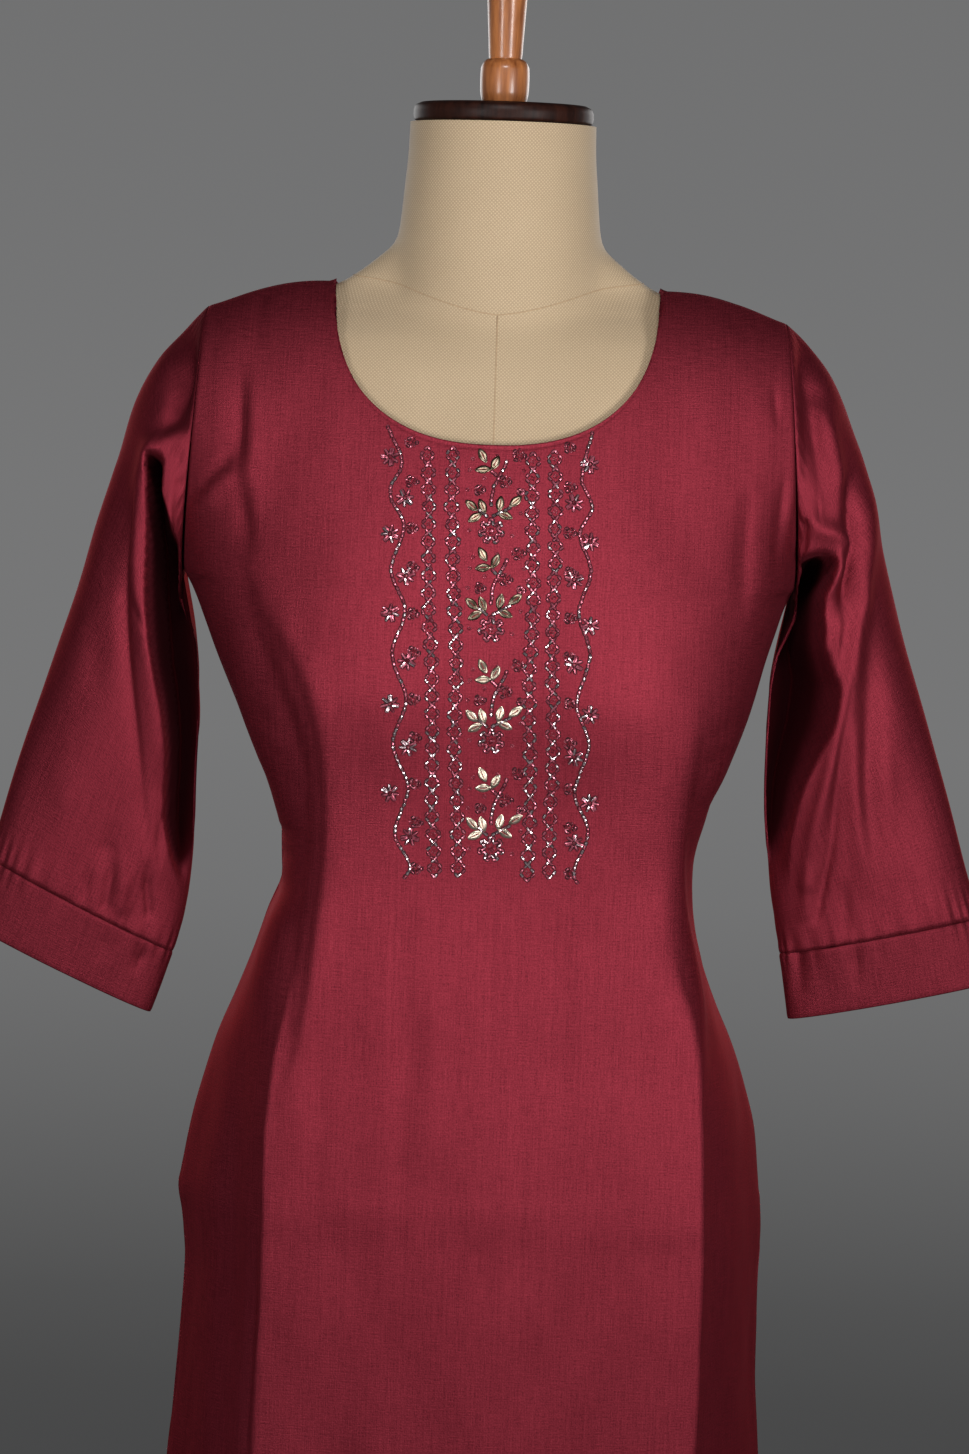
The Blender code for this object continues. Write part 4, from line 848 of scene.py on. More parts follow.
def make_sleeve(name, side, mat):
    around, count = 168, 112
    s = np.concatenate([[0, 0.004, 0.009, 0.016], np.linspace(0.024, 1, count - 3)])
    grid, th, deep = tube_grid(SLEEVES[name], s, around)
    low = 0.5 + 0.5 * np.cos(th)
    grid[0, :, 0] += 0.25 + 0.6 * low ** 2
    grid[1:4, :, 0] += (0.25 + 0.6 * low ** 2) * np.array([[0.9], [0.6], [0.3]])
    grid[..., 0] *= side
    ring = np.linalg.norm(np.roll(grid, -1, axis=1) - grid, axis=-1).mean()
    u0, v0 = seen_from_front(grid)
    face = np.sin(th)[None, :]
    front = ramp(-0.05, 0.25, face)
    ss = s[:, None]
    sunk = hollow_amount(name, u0, v0) * ramp(0.02, 0.10, ss) * np.clip(face * 6, 0, 1)
    spec = HOLLOWS[name]
    # painted shade: the colour darkens with how far each point has sunk into the hollow
    painted_shade = ramp(*spec["tone"], sunk)
    # painted shade along the cap's seam, added to the hollow's
    if "seam_painted_shade" in spec:
        curve = through([seen(*p) for p in spec["seam_painted_shade"]], (0.55, 0.70, 0.70, 0.65, 0.40))
        painted_shade = np.maximum(painted_shade, front * fold_heights(u0, v0, curve, (12, 15), 2.2))
    normal = grid_normals(grid, closed=True)
    h = relief(name, grid, front)
    along = np.linalg.norm(np.diff(grid, axis=0), axis=-1).mean(1)
    v_len = np.concatenate(([0.0], np.cumsum(along)))
    girth = np.concatenate([np.zeros((len(s), 1)), np.cumsum(np.linalg.norm(
        np.diff(grid, axis=1), axis=-1), axis=1)], axis=1)
    h += drift(girth, np.broadcast_to(v_len[:, None], girth.shape), 21 if side < 0 else 22) * 0.6 * ramp(0.02, 0.1, ss)
    h *= ramp(0.0, 0.05, ss) * (1 - 0.6 * ramp(0.965, 1.0, ss))
    h *= 1 - 0.8 * np.minimum(1, 2 * sunk)
    h -= 0.45 * np.exp(-(ss / 0.006) ** 2) + 0.45 * np.exp(-((1 - ss) / 0.007) ** 2)
    # small gathers where the cap is eased into the armhole and over the band
    h += 0.35 * np.sin(th * 46)[None, :] * np.exp(-((ss - 0.03) / 0.02) ** 2) * (face > -0.4)
    uneven = np.sin(th * 3 + side) * 0.5 + 0.5
    h += (0.55 * np.sin(th * 31 + 2.2 * np.sin(5 * th)) + 0.35 * np.sin(th * 17 + side) * uneven)[None, :] \
        * np.exp(-((1 - ss) / 0.045) ** 2)
    outer = grid + normal * h[..., None]
    outer[..., 1] += sunk * deep[:, None] * np.maximum(face, 0) * spec["deep"]
    n2 = grid_normals(outer, closed=True)
    inner = outer - n2 * 0.9
    inner[0, :, 0] = np.where((inner[0, :, 0] - outer[0, :, 0]) * side < 0, outer[0, :, 0], inner[0, :, 0])
    uv = np.stack([girth, np.broadcast_to(-v_len[:, None], girth.shape)], axis=-1) * MM + 0.7
    return shell(f"sleeve_{name}_cloth", outer, inner, mat, uv, closed=True, depth=painted_shade)


def make_band(name, side, mat):
    around, count = 168, 18
    s = np.linspace(0, 1, count + 1)
    s = np.sort(np.concatenate([s, [0.015, 0.035, 0.965, 0.985]]))
    grid, th, _ = tube_grid(BANDS[name], s, around)
    run = unit(grid[-1].mean(0) - grid[0].mean(0))
    grid[0] += run * SEAM
    grid[..., 0] *= side
    run = run * np.array([side, 1, 1])
    normal = grid_normals(grid, closed=True)
    normal = unit(normal - run * np.sum(normal * run, axis=-1, keepdims=True))
    face = np.sin(th)[None, :]
    ss = s[:, None]
    h = relief("band_" + name, grid, ramp(-0.05, 0.25, face))
    h += 0.3 - 0.6 * np.exp(-(ss / 0.03) ** 2) - 0.35 * np.exp(-((1 - ss) / 0.03) ** 2)
    h += (0.4 * np.sin(th * 31 + 2.2 * np.sin(5 * th)))[None, :] * np.exp(-(ss / 0.22) ** 2)
    girth = np.concatenate([np.zeros((len(s), 1)), np.cumsum(np.linalg.norm(
        np.diff(grid, axis=1), axis=-1), axis=1)], axis=1)
    length = np.linalg.norm(grid[-1].mean(0) - grid[0].mean(0)) * s
    h += drift(girth, np.broadcast_to(length[:, None], girth.shape), 31 if side < 0 else 32) * 0.4
    outer = grid + normal * h[..., None]
    inner = outer - normal * 1.3
    uv = np.stack([girth, np.broadcast_to(-length[:, None], girth.shape)], axis=-1) * MM + 1.3
    return shell(f"sleeve_band_{name}_cloth", outer, inner, mat, uv, closed=True)


# ------------------------------------------------------------- form and stand
def form_ring(z, around):
    th = 2 * math.pi * np.arange(around) / around
    def radius(half, front, back, power):
        deep = np.where(np.sin(th) < 0, front, back)
        return (np.abs(np.cos(th) / half) ** power + np.abs(np.sin(th) / deep) ** power) ** (-1 / power)
    trunk = radius(*(float(trunk_at[k](z)) for k in TRUNK_COLUMNS[1:]))
    neck = radius(*(float(neck_at[k](z)) for k in NECK_COLUMNS[1:]), 2.0)
    r = (trunk ** NECK_BLEND + neck ** NECK_BLEND) ** (1 / NECK_BLEND)
    x, y = r * np.cos(th), r * np.sin(th)
    y = y - np.where(y < 0, bust(x, z, FORM_BUST_OUT) * np.clip(-y / 60, 0, 1), 0)
    return np.stack([x, y, np.full_like(x, z)], axis=-1)


def stacked(name, rings, mat, uv=None, sharp=50):
    rings = np.array(rings)
    rows, cols = rings.shape[:2]
    verts = list(rings.reshape(-1, 3) * MM)
    idx = np.arange(rows * cols).reshape(rows, cols)
    nxt = np.roll(idx, -1, axis=1)
    faces = [tuple(f) for f in np.stack([idx[:-1], nxt[:-1], nxt[1:], idx[1:]], axis=-1).reshape(-1, 4)]
    faces.append(tuple(idx[0][::-1]))
    faces.append(tuple(idx[-1]))
    obj = make_object(name, verts, faces, mat, uv)
    obj.data.set_sharp_from_angle(angle=math.radians(sharp))
    return obj


def make_form(mat, seam_mat):
    around = 144
    z = np.unique(np.round(np.concatenate([
        [645, 646, 648, 651, 655, 660], np.arange(666, 1300, 6.0), np.arange(1300, 1385, 2.0),
        np.arange(1385, 1463, 4.0), [1463.0]]), 3))
    rings = np.array([form_ring(zi, around) for zi in z])
    step = np.linalg.norm(np.roll(rings, -1, axis=1) - rings, axis=-1)
    girth = np.cumsum(step, axis=1) - step
    girth -= girth[:, [around * 3 // 4]]                 # zero at the centre front
    rise = np.concatenate(([0.0], np.cumsum(np.linalg.norm(
        np.diff(rings[:, around * 3 // 4], axis=0), axis=-1))))
    uv = np.stack([girth, np.broadcast_to(rise[:, None], girth.shape)], axis=-1).reshape(-1, 2) * MM
    obj = stacked("form_canvas", rings, mat, uv)

    # sewn lines of the canvas: round the foot of the neck, centre front and
    # back, side and shoulder, laid as thin sunk cords
    bvh = BVHTree.FromPolygons([tuple(p) for p in rings.reshape(-1, 3)],
                               [tuple(p.vertices) for p in obj.data.polygons])

    def on_form(az, zz):
        far = Vector((math.sin(az) * 600, -math.cos(az) * 600, zz))
        hit = bvh.ray_cast(far, Vector((-math.sin(az), math.cos(az), 0)))
        return np.array(hit[0]) if hit[0] is not None else np.array(far)

    paths = []
    az = np.linspace(0, 2 * math.pi, 121)[:-1]
    around_neck = [on_form(a, 1340.5 + 22 * (0.5 - 0.5 * math.cos(a)) + 12 * abs(math.sin(a)) ** 1.4) for a in az]
    paths.append((np.array(around_neck), True))
    for a, top in ((0.0, 1340.0), (math.pi, 1361.0)):
        paths.append((np.array([on_form(a, zz) for zz in np.arange(700, top, 8.0)] + [on_form(a, top)]), False))
    for sgn in (-1, 1):
        paths.append((np.array([on_form(sgn * math.pi / 2, zz) for zz in np.arange(660, 1330, 9.0)]), False))
    verts, faces = [], []
    for path, ring in paths:
        tube(verts, faces, path, 0.55, 6, ring, sink=0.28)
    make_object("form_seams", np.array(verts) * MM, faces, seam_mat)
    return obj


def tube(verts, faces, path, radius, sides, ring=False, sink=0.0, axis_of=None):
    """Adds a tube of mm points to verts and faces."""
    path = np.asarray(path, float)
    if ring:
        tangent = unit(np.roll(path, -1, axis=0) - np.roll(path, 1, axis=0))
    else:
        tangent = unit(np.gradient(path, axis=0))
    centre = path.copy()
    centre[:, :2] = 0 if axis_of is None else axis_of
    out = unit(path - centre)
    out = unit(out - tangent * np.sum(out * tangent, axis=-1, keepdims=True))
    other = np.cross(tangent, out)
    base = len(verts)
    n = len(path)
    for i in range(n):
        for k in range(sides):
            a = 2 * math.pi * k / sides
            verts.append(path[i] - out[i] * sink + radius * (math.cos(a) * out[i] + math.sin(a) * other[i]))
    for i in range(n if ring else n - 1):
        j = (i + 1) % n
        for k in range(sides):
            m = (k + 1) % sides
            faces.append((base + i * sides + k, base + i * sides + m, base + j * sides + m, base + j * sides + k))
    if not ring:
        faces.append(tuple(base + k for k in range(sides))[::-1])
        faces.append(tuple(base + (n - 1) * sides + k for k in range(sides)))


def turned_fine(name, profile, around, mat, deep=1.0, steps=6, sharp=60):
    """A turned solid through a smooth line of (height, radius) rows."""
    p = np.array(profile, float)
    at = np.concatenate(([0.0], np.cumsum(np.hypot(*np.diff(p, axis=0).T))))
    t = np.unique(np.concatenate([np.linspace(at[i], at[i + 1], steps + 1) for i in range(len(at) - 1)]))
    z, r = smooth(at, p[:, 0])(t), smooth(at, p[:, 1])(t)
    th = 2 * math.pi * np.arange(around) / around
    rings = [np.stack([ri * np.cos(th), deep * ri * np.sin(th), np.full(around, zi)], axis=-1)
             for zi, ri in zip(z, r)]
    uv = np.stack([np.broadcast_to(th * 17, (len(z), around)), np.broadcast_to(z[:, None], (len(z), around))],
                  axis=-1).reshape(-1, 2) * MM
    return stacked(name, rings, mat, uv, sharp)


# ------------------------------------------------------------------ materials
class Nodes:
    def __init__(self, name):
        self.mat = bpy.data.materials.new(name)
        self.mat.use_nodes = True
        self.tree = self.mat.node_tree
        self.shader = self.tree.nodes["Principled BSDF"]

    def new(self, kind, **values):
        node = self.tree.nodes.new(kind)
        for k, v in values.items():
            if hasattr(node, k):
                setattr(node, k, v)
            else:
                node.inputs[k].default_value = v
        return node

    def link(self, a, b):
        self.tree.links.new(a, b)

    def set(self, **values):
        for k, v in values.items():
            self.shader.inputs[k.replace("_", " ")].default_value = v

    def coords(self, kind, scale, turn=0.0):
        if kind == "UV":
            src = self.new("ShaderNodeUVMap", uv_map="UVMap").outputs["UV"]
        else:
            src = self.new("ShaderNodeTexCoord").outputs[kind]
        m = self.new("ShaderNodeMapping")
        m.inputs["Scale"].default_value = scale
        m.inputs["Rotation"].default_value = (0, 0, turn)
        self.link(src, m.inputs["Vector"])
        return m.outputs["Vector"]

    def noise(self, coords, scale=1.0, detail=2.0, rough=0.5):
        n = self.new("ShaderNodeTexNoise")
        n.inputs["Scale"].default_value = scale
        n.inputs["Detail"].default_value = detail
        n.inputs["Roughness"].default_value = rough
        self.link(coords, n.inputs["Vector"])
        return n.outputs["Fac"]

    def math(self, op, a, b=0.0, c=None):
        n = self.new("ShaderNodeMath", operation=op)
        for i, v in enumerate((a, b) if c is None else (a, b, c)):
            if isinstance(v, (int, float)):
                n.inputs[i].default_value = v
            else:
                self.link(v, n.inputs[i])
        return n.outputs[0]

    def total(self, *terms):
        """Sum of weight x (value - 0.5)."""
        out = None
        for weight, value in terms:
            t = self.math("MULTIPLY", self.math("SUBTRACT", value, 0.5), weight)
            out = t if out is None else self.math("ADD", out, t)
        return out

    def blend(self, fac, dark, light):
        n = self.new("ShaderNodeMix", data_type="RGBA")
        n.clamp_factor = True
        self.link(fac, n.inputs[0])
        n.inputs[6].default_value = (*dark, 1)
        n.inputs[7].default_value = (*light, 1)
        return n.outputs[2]

    def span(self, value, lo, hi):
        n = self.new("ShaderNodeMapRange")
        n.inputs["To Min"].default_value = lo
        n.inputs["To Max"].default_value = hi
        self.link(value, n.inputs["Value"])
        return n.outputs["Result"]

    def bump(self, height, distance, strength=1.0):
        n = self.new("ShaderNodeBump")
        n.inputs["Distance"].default_value = distance
        n.inputs["Strength"].default_value = strength
        self.link(height, n.inputs["Height"])
        self.link(n.outputs["Normal"], self.shader.inputs["Normal"])


SILK = (0.240, 0.0250, 0.0410)


def silk(name, seed=0.0, tone=1.0):
    """Maroon slub silk: fine plain weave, long warp streaks, short weft slubs."""
    n = Nodes(name)
    streak = n.noise(n.coords("UV", (620, 6, 1)), 1.0, 3.0, 0.6)
    thin = n.noise(n.coords("UV", (1500, 60, 1)), 1.0, 2.0, 0.5)
    slub = n.noise(n.coords("UV", (75, 1300, 1)), 1.0, 2.0, 0.6)
    grain = n.noise(n.coords("UV", (1050, 900, 1)), 1.0, 1.0, 0.5)
    broad = n.noise(n.coords("UV", (9, 4, 1)), 1.0, 2.0, 0.5)
    mix = n.total((0.75, streak), (0.9, thin), (1.0, slub), (1.5, grain), (0.4, broad))
    fac = n.math("ADD", mix, 0.5)
    c = [v * tone for v in SILK]
    cloth = n.blend(fac, [v * 0.66 for v in c], [c[0] * 1.36, c[1] * 1.5, c[2] * 1.42])
    # painted shade: the point attribute darkens the silk's colour to a near-black maroon inside the sleeves' deep
    # hollows and along one cap's seam, and makes it a little rougher there
    deep = n.new("ShaderNodeMix", data_type="RGBA")
    painted_shade_fac = n.new("ShaderNodeAttribute", attribute_name="fold_painted_shade").outputs["Fac"]
    n.link(painted_shade_fac, deep.inputs[0])
    n.link(cloth, deep.inputs[6])
    deep.inputs[7].default_value = (c[0] * 0.17, c[1] * 0.13, c[2] * 0.13, 1)
    n.link(deep.outputs[2], n.shader.inputs["Base Color"])
    rough = n.span(n.math("ADD", n.total((1.2, slub), (0.8, streak)), 0.5), 0.54, 0.66)
    n.link(n.math("ADD", rough, n.math("MULTIPLY", painted_shade_fac, 0.25)), n.shader.inputs["Roughness"])
    n.bump(n.total((0.9, thin), (1.3, slub), (1.0, grain)), 0.00022, 0.55)
    n.set(Metallic=0.90, Sheen_Weight=0.02, Sheen_Roughness=0.5)
    n.shader.inputs["Sheen Tint"].default_value = (0.8, 0.2, 0.26, 1)
    n.shader.inputs["Specular IOR Level"].default_value = 0.3
    n.shader.inputs["Specular Tint"].default_value = (0.42, 0.12, 0.15, 1)
    return n.mat


def canvas():
    """Cream form cover: a fine diagonal net weave, slightly mottled."""
    n = Nodes("canvas_cream")
    waves = []
    for turn in (math.radians(45), math.radians(-45)):
        w = n.new("ShaderNodeTexWave", wave_type="BANDS", bands_direction="X", wave_profile="SIN")
        w.inputs["Scale"].default_value = 1.0
        w.inputs["Distortion"].default_value = 0.0
        n.link(n.coords("UV", (3.1416 / 10 / 0.00165,) * 2 + (1,), turn), w.inputs["Vector"])
        waves.append(w.outputs["Fac"])
    dots = n.math("MULTIPLY", waves[0], waves[1])
    grain = n.noise(n.coords("UV", (900, 900, 1)), 1.0, 2.0, 0.5)
    broad = n.noise(n.coords("UV", (14, 14, 1)), 1.0, 3.0, 0.5)
    fac = n.math("ADD", n.total((0.95, dots), (0.6, grain), (0.35, broad)), 0.70)
    n.link(n.blend(fac, (0.325, 0.235, 0.142), (0.545, 0.415, 0.270)), n.shader.inputs["Base Color"])
    n.bump(n.math("ADD", dots, n.math("MULTIPLY", grain, 0.5)), 0.0002, 0.5)
    n.set(Roughness=0.72, Sheen_Weight=0.15, Sheen_Roughness=0.5)
    n.shader.inputs["Specular IOR Level"].default_value = 0.3
    return n.mat


def wood(name, dark, light, rough=(0.16, 0.3), stretch=(60, 60, 7), coat=0.6):
    n = Nodes(name)
    rings = n.noise(n.coords("Object", stretch), 3.0, 5.0, 0.6)
    fibre = n.noise(n.coords("Object", (stretch[0] * 9, stretch[1] * 9, stretch[2] * 3)), 1.0, 3.0, 0.6)
    fac = n.math("ADD", n.total((2.2, rings), (1.0, fibre)), 0.5)
    n.link(n.blend(fac, dark, light), n.shader.inputs["Base Color"])
    n.link(n.span(fibre, *rough), n.shader.inputs["Roughness"])
    n.bump(n.math("ADD", rings, n.math("MULTIPLY", fibre, 0.6)), 0.0003, 0.35)
    n.set(Coat_Weight=coat, Coat_Roughness=0.12)
    if coat == 0.0:
        n.shader.inputs["Specular IOR Level"].default_value = 0.14
    return n.mat


def painted(name, colour, rough=(0.35, 0.5), metal=0.0):
    n = Nodes(name)
    speck = n.noise(n.coords("Object", (300, 300, 300)), 1.0, 3.0, 0.6)
    wear = n.noise(n.coords("Object", (14, 14, 14)), 1.0, 4.0, 0.6)
    fac = n.math("ADD", n.total((0.6, speck), (1.2, wear)), 0.5)
    n.link(n.blend(fac, [v * 0.75 for v in colour], [v * 1.25 for v in colour]), n.shader.inputs["Base Color"])
    n.link(n.span(fac, *rough), n.shader.inputs["Roughness"])
    n.bump(speck, 0.0002, 0.3)
    n.set(Metallic=metal)
    return n.mat


def glassy(name, dark, light, rough, metal, coat=0.8):
    n = Nodes(name)
    v = n.noise(n.coords("Object", (420, 420, 420)), 1.0, 1.0, 0.5)
    n.link(n.blend(n.math("ADD", n.total((2.4, v)), 0.5), dark, light), n.shader.inputs["Base Color"])
    n.link(n.span(v, rough * 0.8, rough * 1.3), n.shader.inputs["Roughness"])
    n.set(Metallic=metal, Coat_Weight=coat, Coat_Roughness=0.08)
    return n.mat


def sequin(name):
    """Champagne leaf sequins, their colour painted darker towards the neck and brighter below the bust, a painted
    reflection of how they catch the lamps.
    """
    n = Nodes(name)
    v = n.noise(n.coords("Object", (260, 260, 260)), 1.0, 2.0, 0.5)
    sep = n.new("ShaderNodeSeparateXYZ")
    n.link(n.new("ShaderNodeTexCoord").outputs["Object"], sep.inputs[0])
    # painted reflection: colour brighter below 1.085 m, darker above 1.14 m
    low = n.new("ShaderNodeMapRange")
    for k, val in (("From Min", 1.14), ("From Max", 1.085), ("To Min", -0.42), ("To Max", 0.42)):
        low.inputs[k].default_value = val
    n.link(sep.outputs[2], low.inputs["Value"])
    fac = n.math("ADD", n.math("ADD", n.total((0.9, v)), 0.5), low.outputs["Result"])
    n.link(n.blend(fac, (0.092, 0.069, 0.044), (0.50, 0.42, 0.33)), n.shader.inputs["Base Color"])
    n.link(n.span(v, 0.22, 0.34), n.shader.inputs["Roughness"])
    n.set(Metallic=0.95, Coat_Weight=0.1, Coat_Roughness=0.1)
    return n.mat


def thread_mat(name, colour):
    n = Nodes(name)
    v = n.noise(n.coords("Object", (900, 900, 900)), 1.0, 2.0, 0.6)
    n.link(n.blend(v, [c * 0.6 for c in colour], [c * 1.4 for c in colour]), n.shader.inputs["Base Color"])
    n.bump(v, 0.0002, 0.6)
    n.set(Roughness=0.7, Sheen_Weight=0.05)
    n.shader.inputs["Specular IOR Level"].default_value = 0.2
    return n.mat


# ----------------------------------------------------------------- embroidery
class Embroidery:
    """Beads, leaf sequins and stitches laid on the front cloth.

    Places are (x, z) in millimetres as seen on the plane Y = 0 from the front."""

    def __init__(self, outer):
        rows, cols = outer.shape[:2]
        idx = np.arange(rows * cols).reshape(rows, cols)
        quads = np.stack([idx[:-1, :-1], idx[:-1, 1:], idx[1:, 1:], idx[1:, :-1]], axis=-1).reshape(-1, 4)
        bvh = BVHTree.FromPolygons([tuple(p) for p in outer.reshape(-1, 3)], [tuple(q) for q in quads])
        self.x0, self.z0, self.step = -90.0, 940.0, 2.0
        nx, nz = 91, 171
        self.points = np.zeros((nx, nz, 3))
        eye = Vector((0, -CAM_BACK, CAM_Z))
        for i in range(nx):
            for k in range(nz):
                to = Vector((self.x0 + i * self.step, 0, self.z0 + k * self.step))
                hit = bvh.ray_cast(eye, (to - eye).normalized())
                if hit[0] is None:
                    self.points[i, k] = self.points[i, k - 1] + (0, 0, self.step)
                else:
                    self.points[i, k] = hit[0]
        self.parts = {}
        self.silvered = (0.22, 0.42)
        self.rng = np.random.default_rng(5)

    def at(self, x, z):
        fx, fz = (x - self.x0) / self.step, (z - self.z0) / self.step
        i, k = int(np.clip(fx, 0, 89)), int(np.clip(fz, 0, 169))
        a, b = fx - i, fz - k
        p = self.points
        return ((1 - a) * (1 - b) * p[i, k] + a * (1 - b) * p[i + 1, k]
                + (1 - a) * b * p[i, k + 1] + a * b * p[i + 1, k + 1])

    def frame_at(self, x, z, angle):
        p = self.at(x, z)
        ex, ez = self.at(x + 1.5, z) - self.at(x - 1.5, z), self.at(x, z + 1.5) - self.at(x, z - 1.5)
        n = unit(np.cross(ex, ez))
        if n[1] > 0:
            n = -n
        t = unit(math.cos(angle) * ex + math.sin(angle) * ez)
        s = np.cross(n, t)
        return p, t, s, n

    def add(self, kind, verts, faces, x, z, angle, lift=0.0, tip=0.0, roll=0.0):
        """verts along t, s, n in mm; tip and roll tilt the piece on the cloth."""
        p, t, s, n = self.frame_at(x, z, angle)
        t2 = unit(t * math.cos(tip) + n * math.sin(tip))
        n2 = unit(n * math.cos(tip) - t * math.sin(tip))
        s2 = unit(s * math.cos(roll) + n2 * math.sin(roll))
        n3 = np.cross(t2, s2)
        store = self.parts.setdefault(kind, ([], []))
        base = sum(len(v) for v in store[0])
        v = np.asarray(verts)
        store[0].append(p + n * lift + v[:, :1] * t2 + v[:, 1:2] * s2 + v[:, 2:] * n3)
        store[1].extend([tuple(base + i for i in f) for f in faces])

    def bead(self, x, z, angle, length=2.5, r=0.74, kind=None):
        if kind is None:
            # the silvered beads are more worn, and fewer, towards the neck
            top, low = self.silvered
            share = top + (low - top) * float(ramp(1165, 1060, z))
            kind = "bead_silver" if self.rng.random() < share else "bead_rose"
        sides = 6
        verts, faces = [], []
        stations = ((-0.5, 0.78), (-0.42, 1.0), (0.42, 1.0), (0.5, 0.78))
        for f, q in stations:
            for k in range(sides):
                a = 2 * math.pi * k / sides
                verts.append((f * length, q * r * math.cos(a), q * r * math.sin(a)))
        for i in range(3):
            for k in range(sides):
                m = (k + 1) % sides
                faces.append((i * sides + k, i * sides + m, (i + 1) * sides + m, (i + 1) * sides + k))
        faces.append(tuple(range(sides))[::-1])
        faces.append(tuple(3 * sides + k for k in range(sides)))
        g = self.rng.normal(0, 1, 4)
        x, z, angle = x + 0.14 * g[0], z + 0.14 * g[1], angle + 0.09 * g[2]
        self.add(kind, verts, faces, x, z, angle, lift=r * 0.95, tip=0.06 * g[3],
                 roll=self.rng.uniform(0, 0.9))
        # painted shadow: a dark strip under and round each bead
        self.bed_and_shadow(x, z, angle, length + 1.1, r + 0.62)

    def bed_and_shadow(self, x, z, angle, length, half):
        """The dark thread a bead is couched in, a low padded strip; wider than the bead, its dark rim is also painted
        shadow round the bead.
        """
        verts, faces = [], []
        outline = [(-0.5, 0), (-0.38, 0.8), (0, 1), (0.38, 0.8), (0.5, 0), (0.38, -0.8), (0, -1), (-0.38, -0.8)]
        for q, h in ((1.0, -0.2), (0.97, 0.10), (0.7, 0.20)):
            for px, py in outline:
                verts.append((px * length * q, py * half * q, h))
        n = len(outline)
        for i in range(2):
            for k in range(n):
                m = (k + 1) % n
                faces.append((i * n + k, i * n + m, (i + 1) * n + m, (i + 1) * n + k))
        faces.append(tuple(range(n))[::-1])
        faces.append(tuple(2 * n + k for k in range(n)))
        self.add("dark_thread_and_shadow", verts, faces, x, z, angle)

    def seed(self, x, z, r=0.75, kind="bead_dark"):
        """A small round bead with its hole facing out."""
        sides, verts, faces = 8, [], []
        prof = ((0.42, 0.55), (0.8, 0.5), (1.0, 0.0), (0.8, -0.5), (0.42, -0.55))
        for q, h in prof:
            for k in range(sides):
                a = 2 * math.pi * k / sides
                verts.append((q * r * math.cos(a), q * r * math.sin(a), h * r))
        m = len(prof)
        for i in range(m):
            j = (i + 1) % m
            for k in range(sides):
                l = (k + 1) % sides
                faces.append((i * sides + k, j * sides + k, j * sides + l, i * sides + l))
        g = self.rng.normal(0, 1, 2)
        self.add(kind, verts, faces, x, z, 0.0, lift=r * 0.5, tip=0.25 * g[0], roll=0.25 * g[1])

    def leaf(self, x, z, angle, length=10.4, width=5.6):
        """A pressed leaf sequin with a slit, on a stitch of red thread."""
        n = 18
        verts, faces = [], []
        tilt = self.rng.normal(0, 1, 2)
        for ring, (q, h) in enumerate(((1.0, 0.0), (0.94, 0.16), (0.55, 0.40), (0.22, 0.30), (0.12, 0.12))):
            for k in range(n):
                a = 2 * math.pi * k / n
                ca, sa = math.cos(a), math.sin(a)
                px = 0.5 * length * q * ca
                py = 0.5 * width * q * sa * (1 - 0.42 * abs(ca) ** 1.5)
                if ring >= 3:
                    py *= 0.35
                    px = 0.5 * length * (0.62 if ring == 3 else 0.5) * ca
                verts.append((px, py, h))
        rings = 5
        for i in range(rings - 1):
            for k in range(n):
                m = (k + 1) % n
                faces.append((i * n + k, i * n + m, (i + 1) * n + m, (i + 1) * n + k))
        under = len(verts)
        for k in range(n):
            a = 2 * math.pi * k / n
            ca, sa = math.cos(a), math.sin(a)
            verts.append((0.5 * length * 0.97 * ca, 0.5 * width * 0.97 * sa * (1 - 0.42 * abs(ca) ** 1.5), -0.12))
        for k in range(n):
            m = (k + 1) % n
            faces.append((k, under + k, under + m, m))
        faces.append(tuple(under + k for k in range(n)))
        faces.append(tuple((rings - 1) * n + k for k in range(n))[::-1])
        self.add("sequin_champagne", verts, faces, x, z, angle, lift=0.45,
                 tip=0.06 * tilt[0], roll=0.08 * tilt[1])
        self.stitch(((x, z), ), angle=angle, length=length * 0.44, r=0.24, lift=0.92, kind="thread_red")

    def stitch(self, at, angle=0.0, length=3.0, r=0.22, lift=0.15, kind="dark_thread_and_shadow"):
        x, z = at[0]
        verts, faces = [], []
        sides = 5
        stations = ((-0.5, -0.5), (-0.36, 0.05), (0, 0.25), (0.36, 0.05), (0.5, -0.5))
        for f, h in stations:
            for k in range(sides):
                a = 2 * math.pi * k / sides
                verts.append((f * length, r * math.cos(a), h * r * 1.6 + r * math.sin(a)))
        for i in range(len(stations) - 1):
            for k in range(sides):
                m = (k + 1) % sides
                faces.append((i * sides + k, i * sides + m, (i + 1) * sides + m, (i + 1) * sides + k))
        faces.append(tuple(range(sides))[::-1])
        faces.append(tuple((len(stations) - 1) * sides + k for k in range(sides)))
        self.add(kind, verts, faces, x, z, angle, lift=lift)

    # ---- motifs
    def string(self, pts, pitch=2.9, length=2.5, kind=None, r=0.76):
        """Tube beads end to end along a line of places."""
        pts = np.asarray(pts, float)
        at = np.concatenate(([0.0], np.cumsum(np.hypot(*np.diff(pts, axis=0).T))))
        count = max(1, int(round(at[-1] / pitch)))
        for k in range(count):
            d = (k + 0.5) * at[-1] / count
            x, z = np.interp(d, at, pts[:, 0]), np.interp(d, at, pts[:, 1])
            x1, z1 = np.interp(d - 1, at, pts[:, 0]), np.interp(d - 1, at, pts[:, 1])
            x2, z2 = np.interp(d + 1, at, pts[:, 0]), np.interp(d + 1, at, pts[:, 1])
            self.bead(x, z, math.atan2(z2 - z1, x2 - x1), length, r, kind)

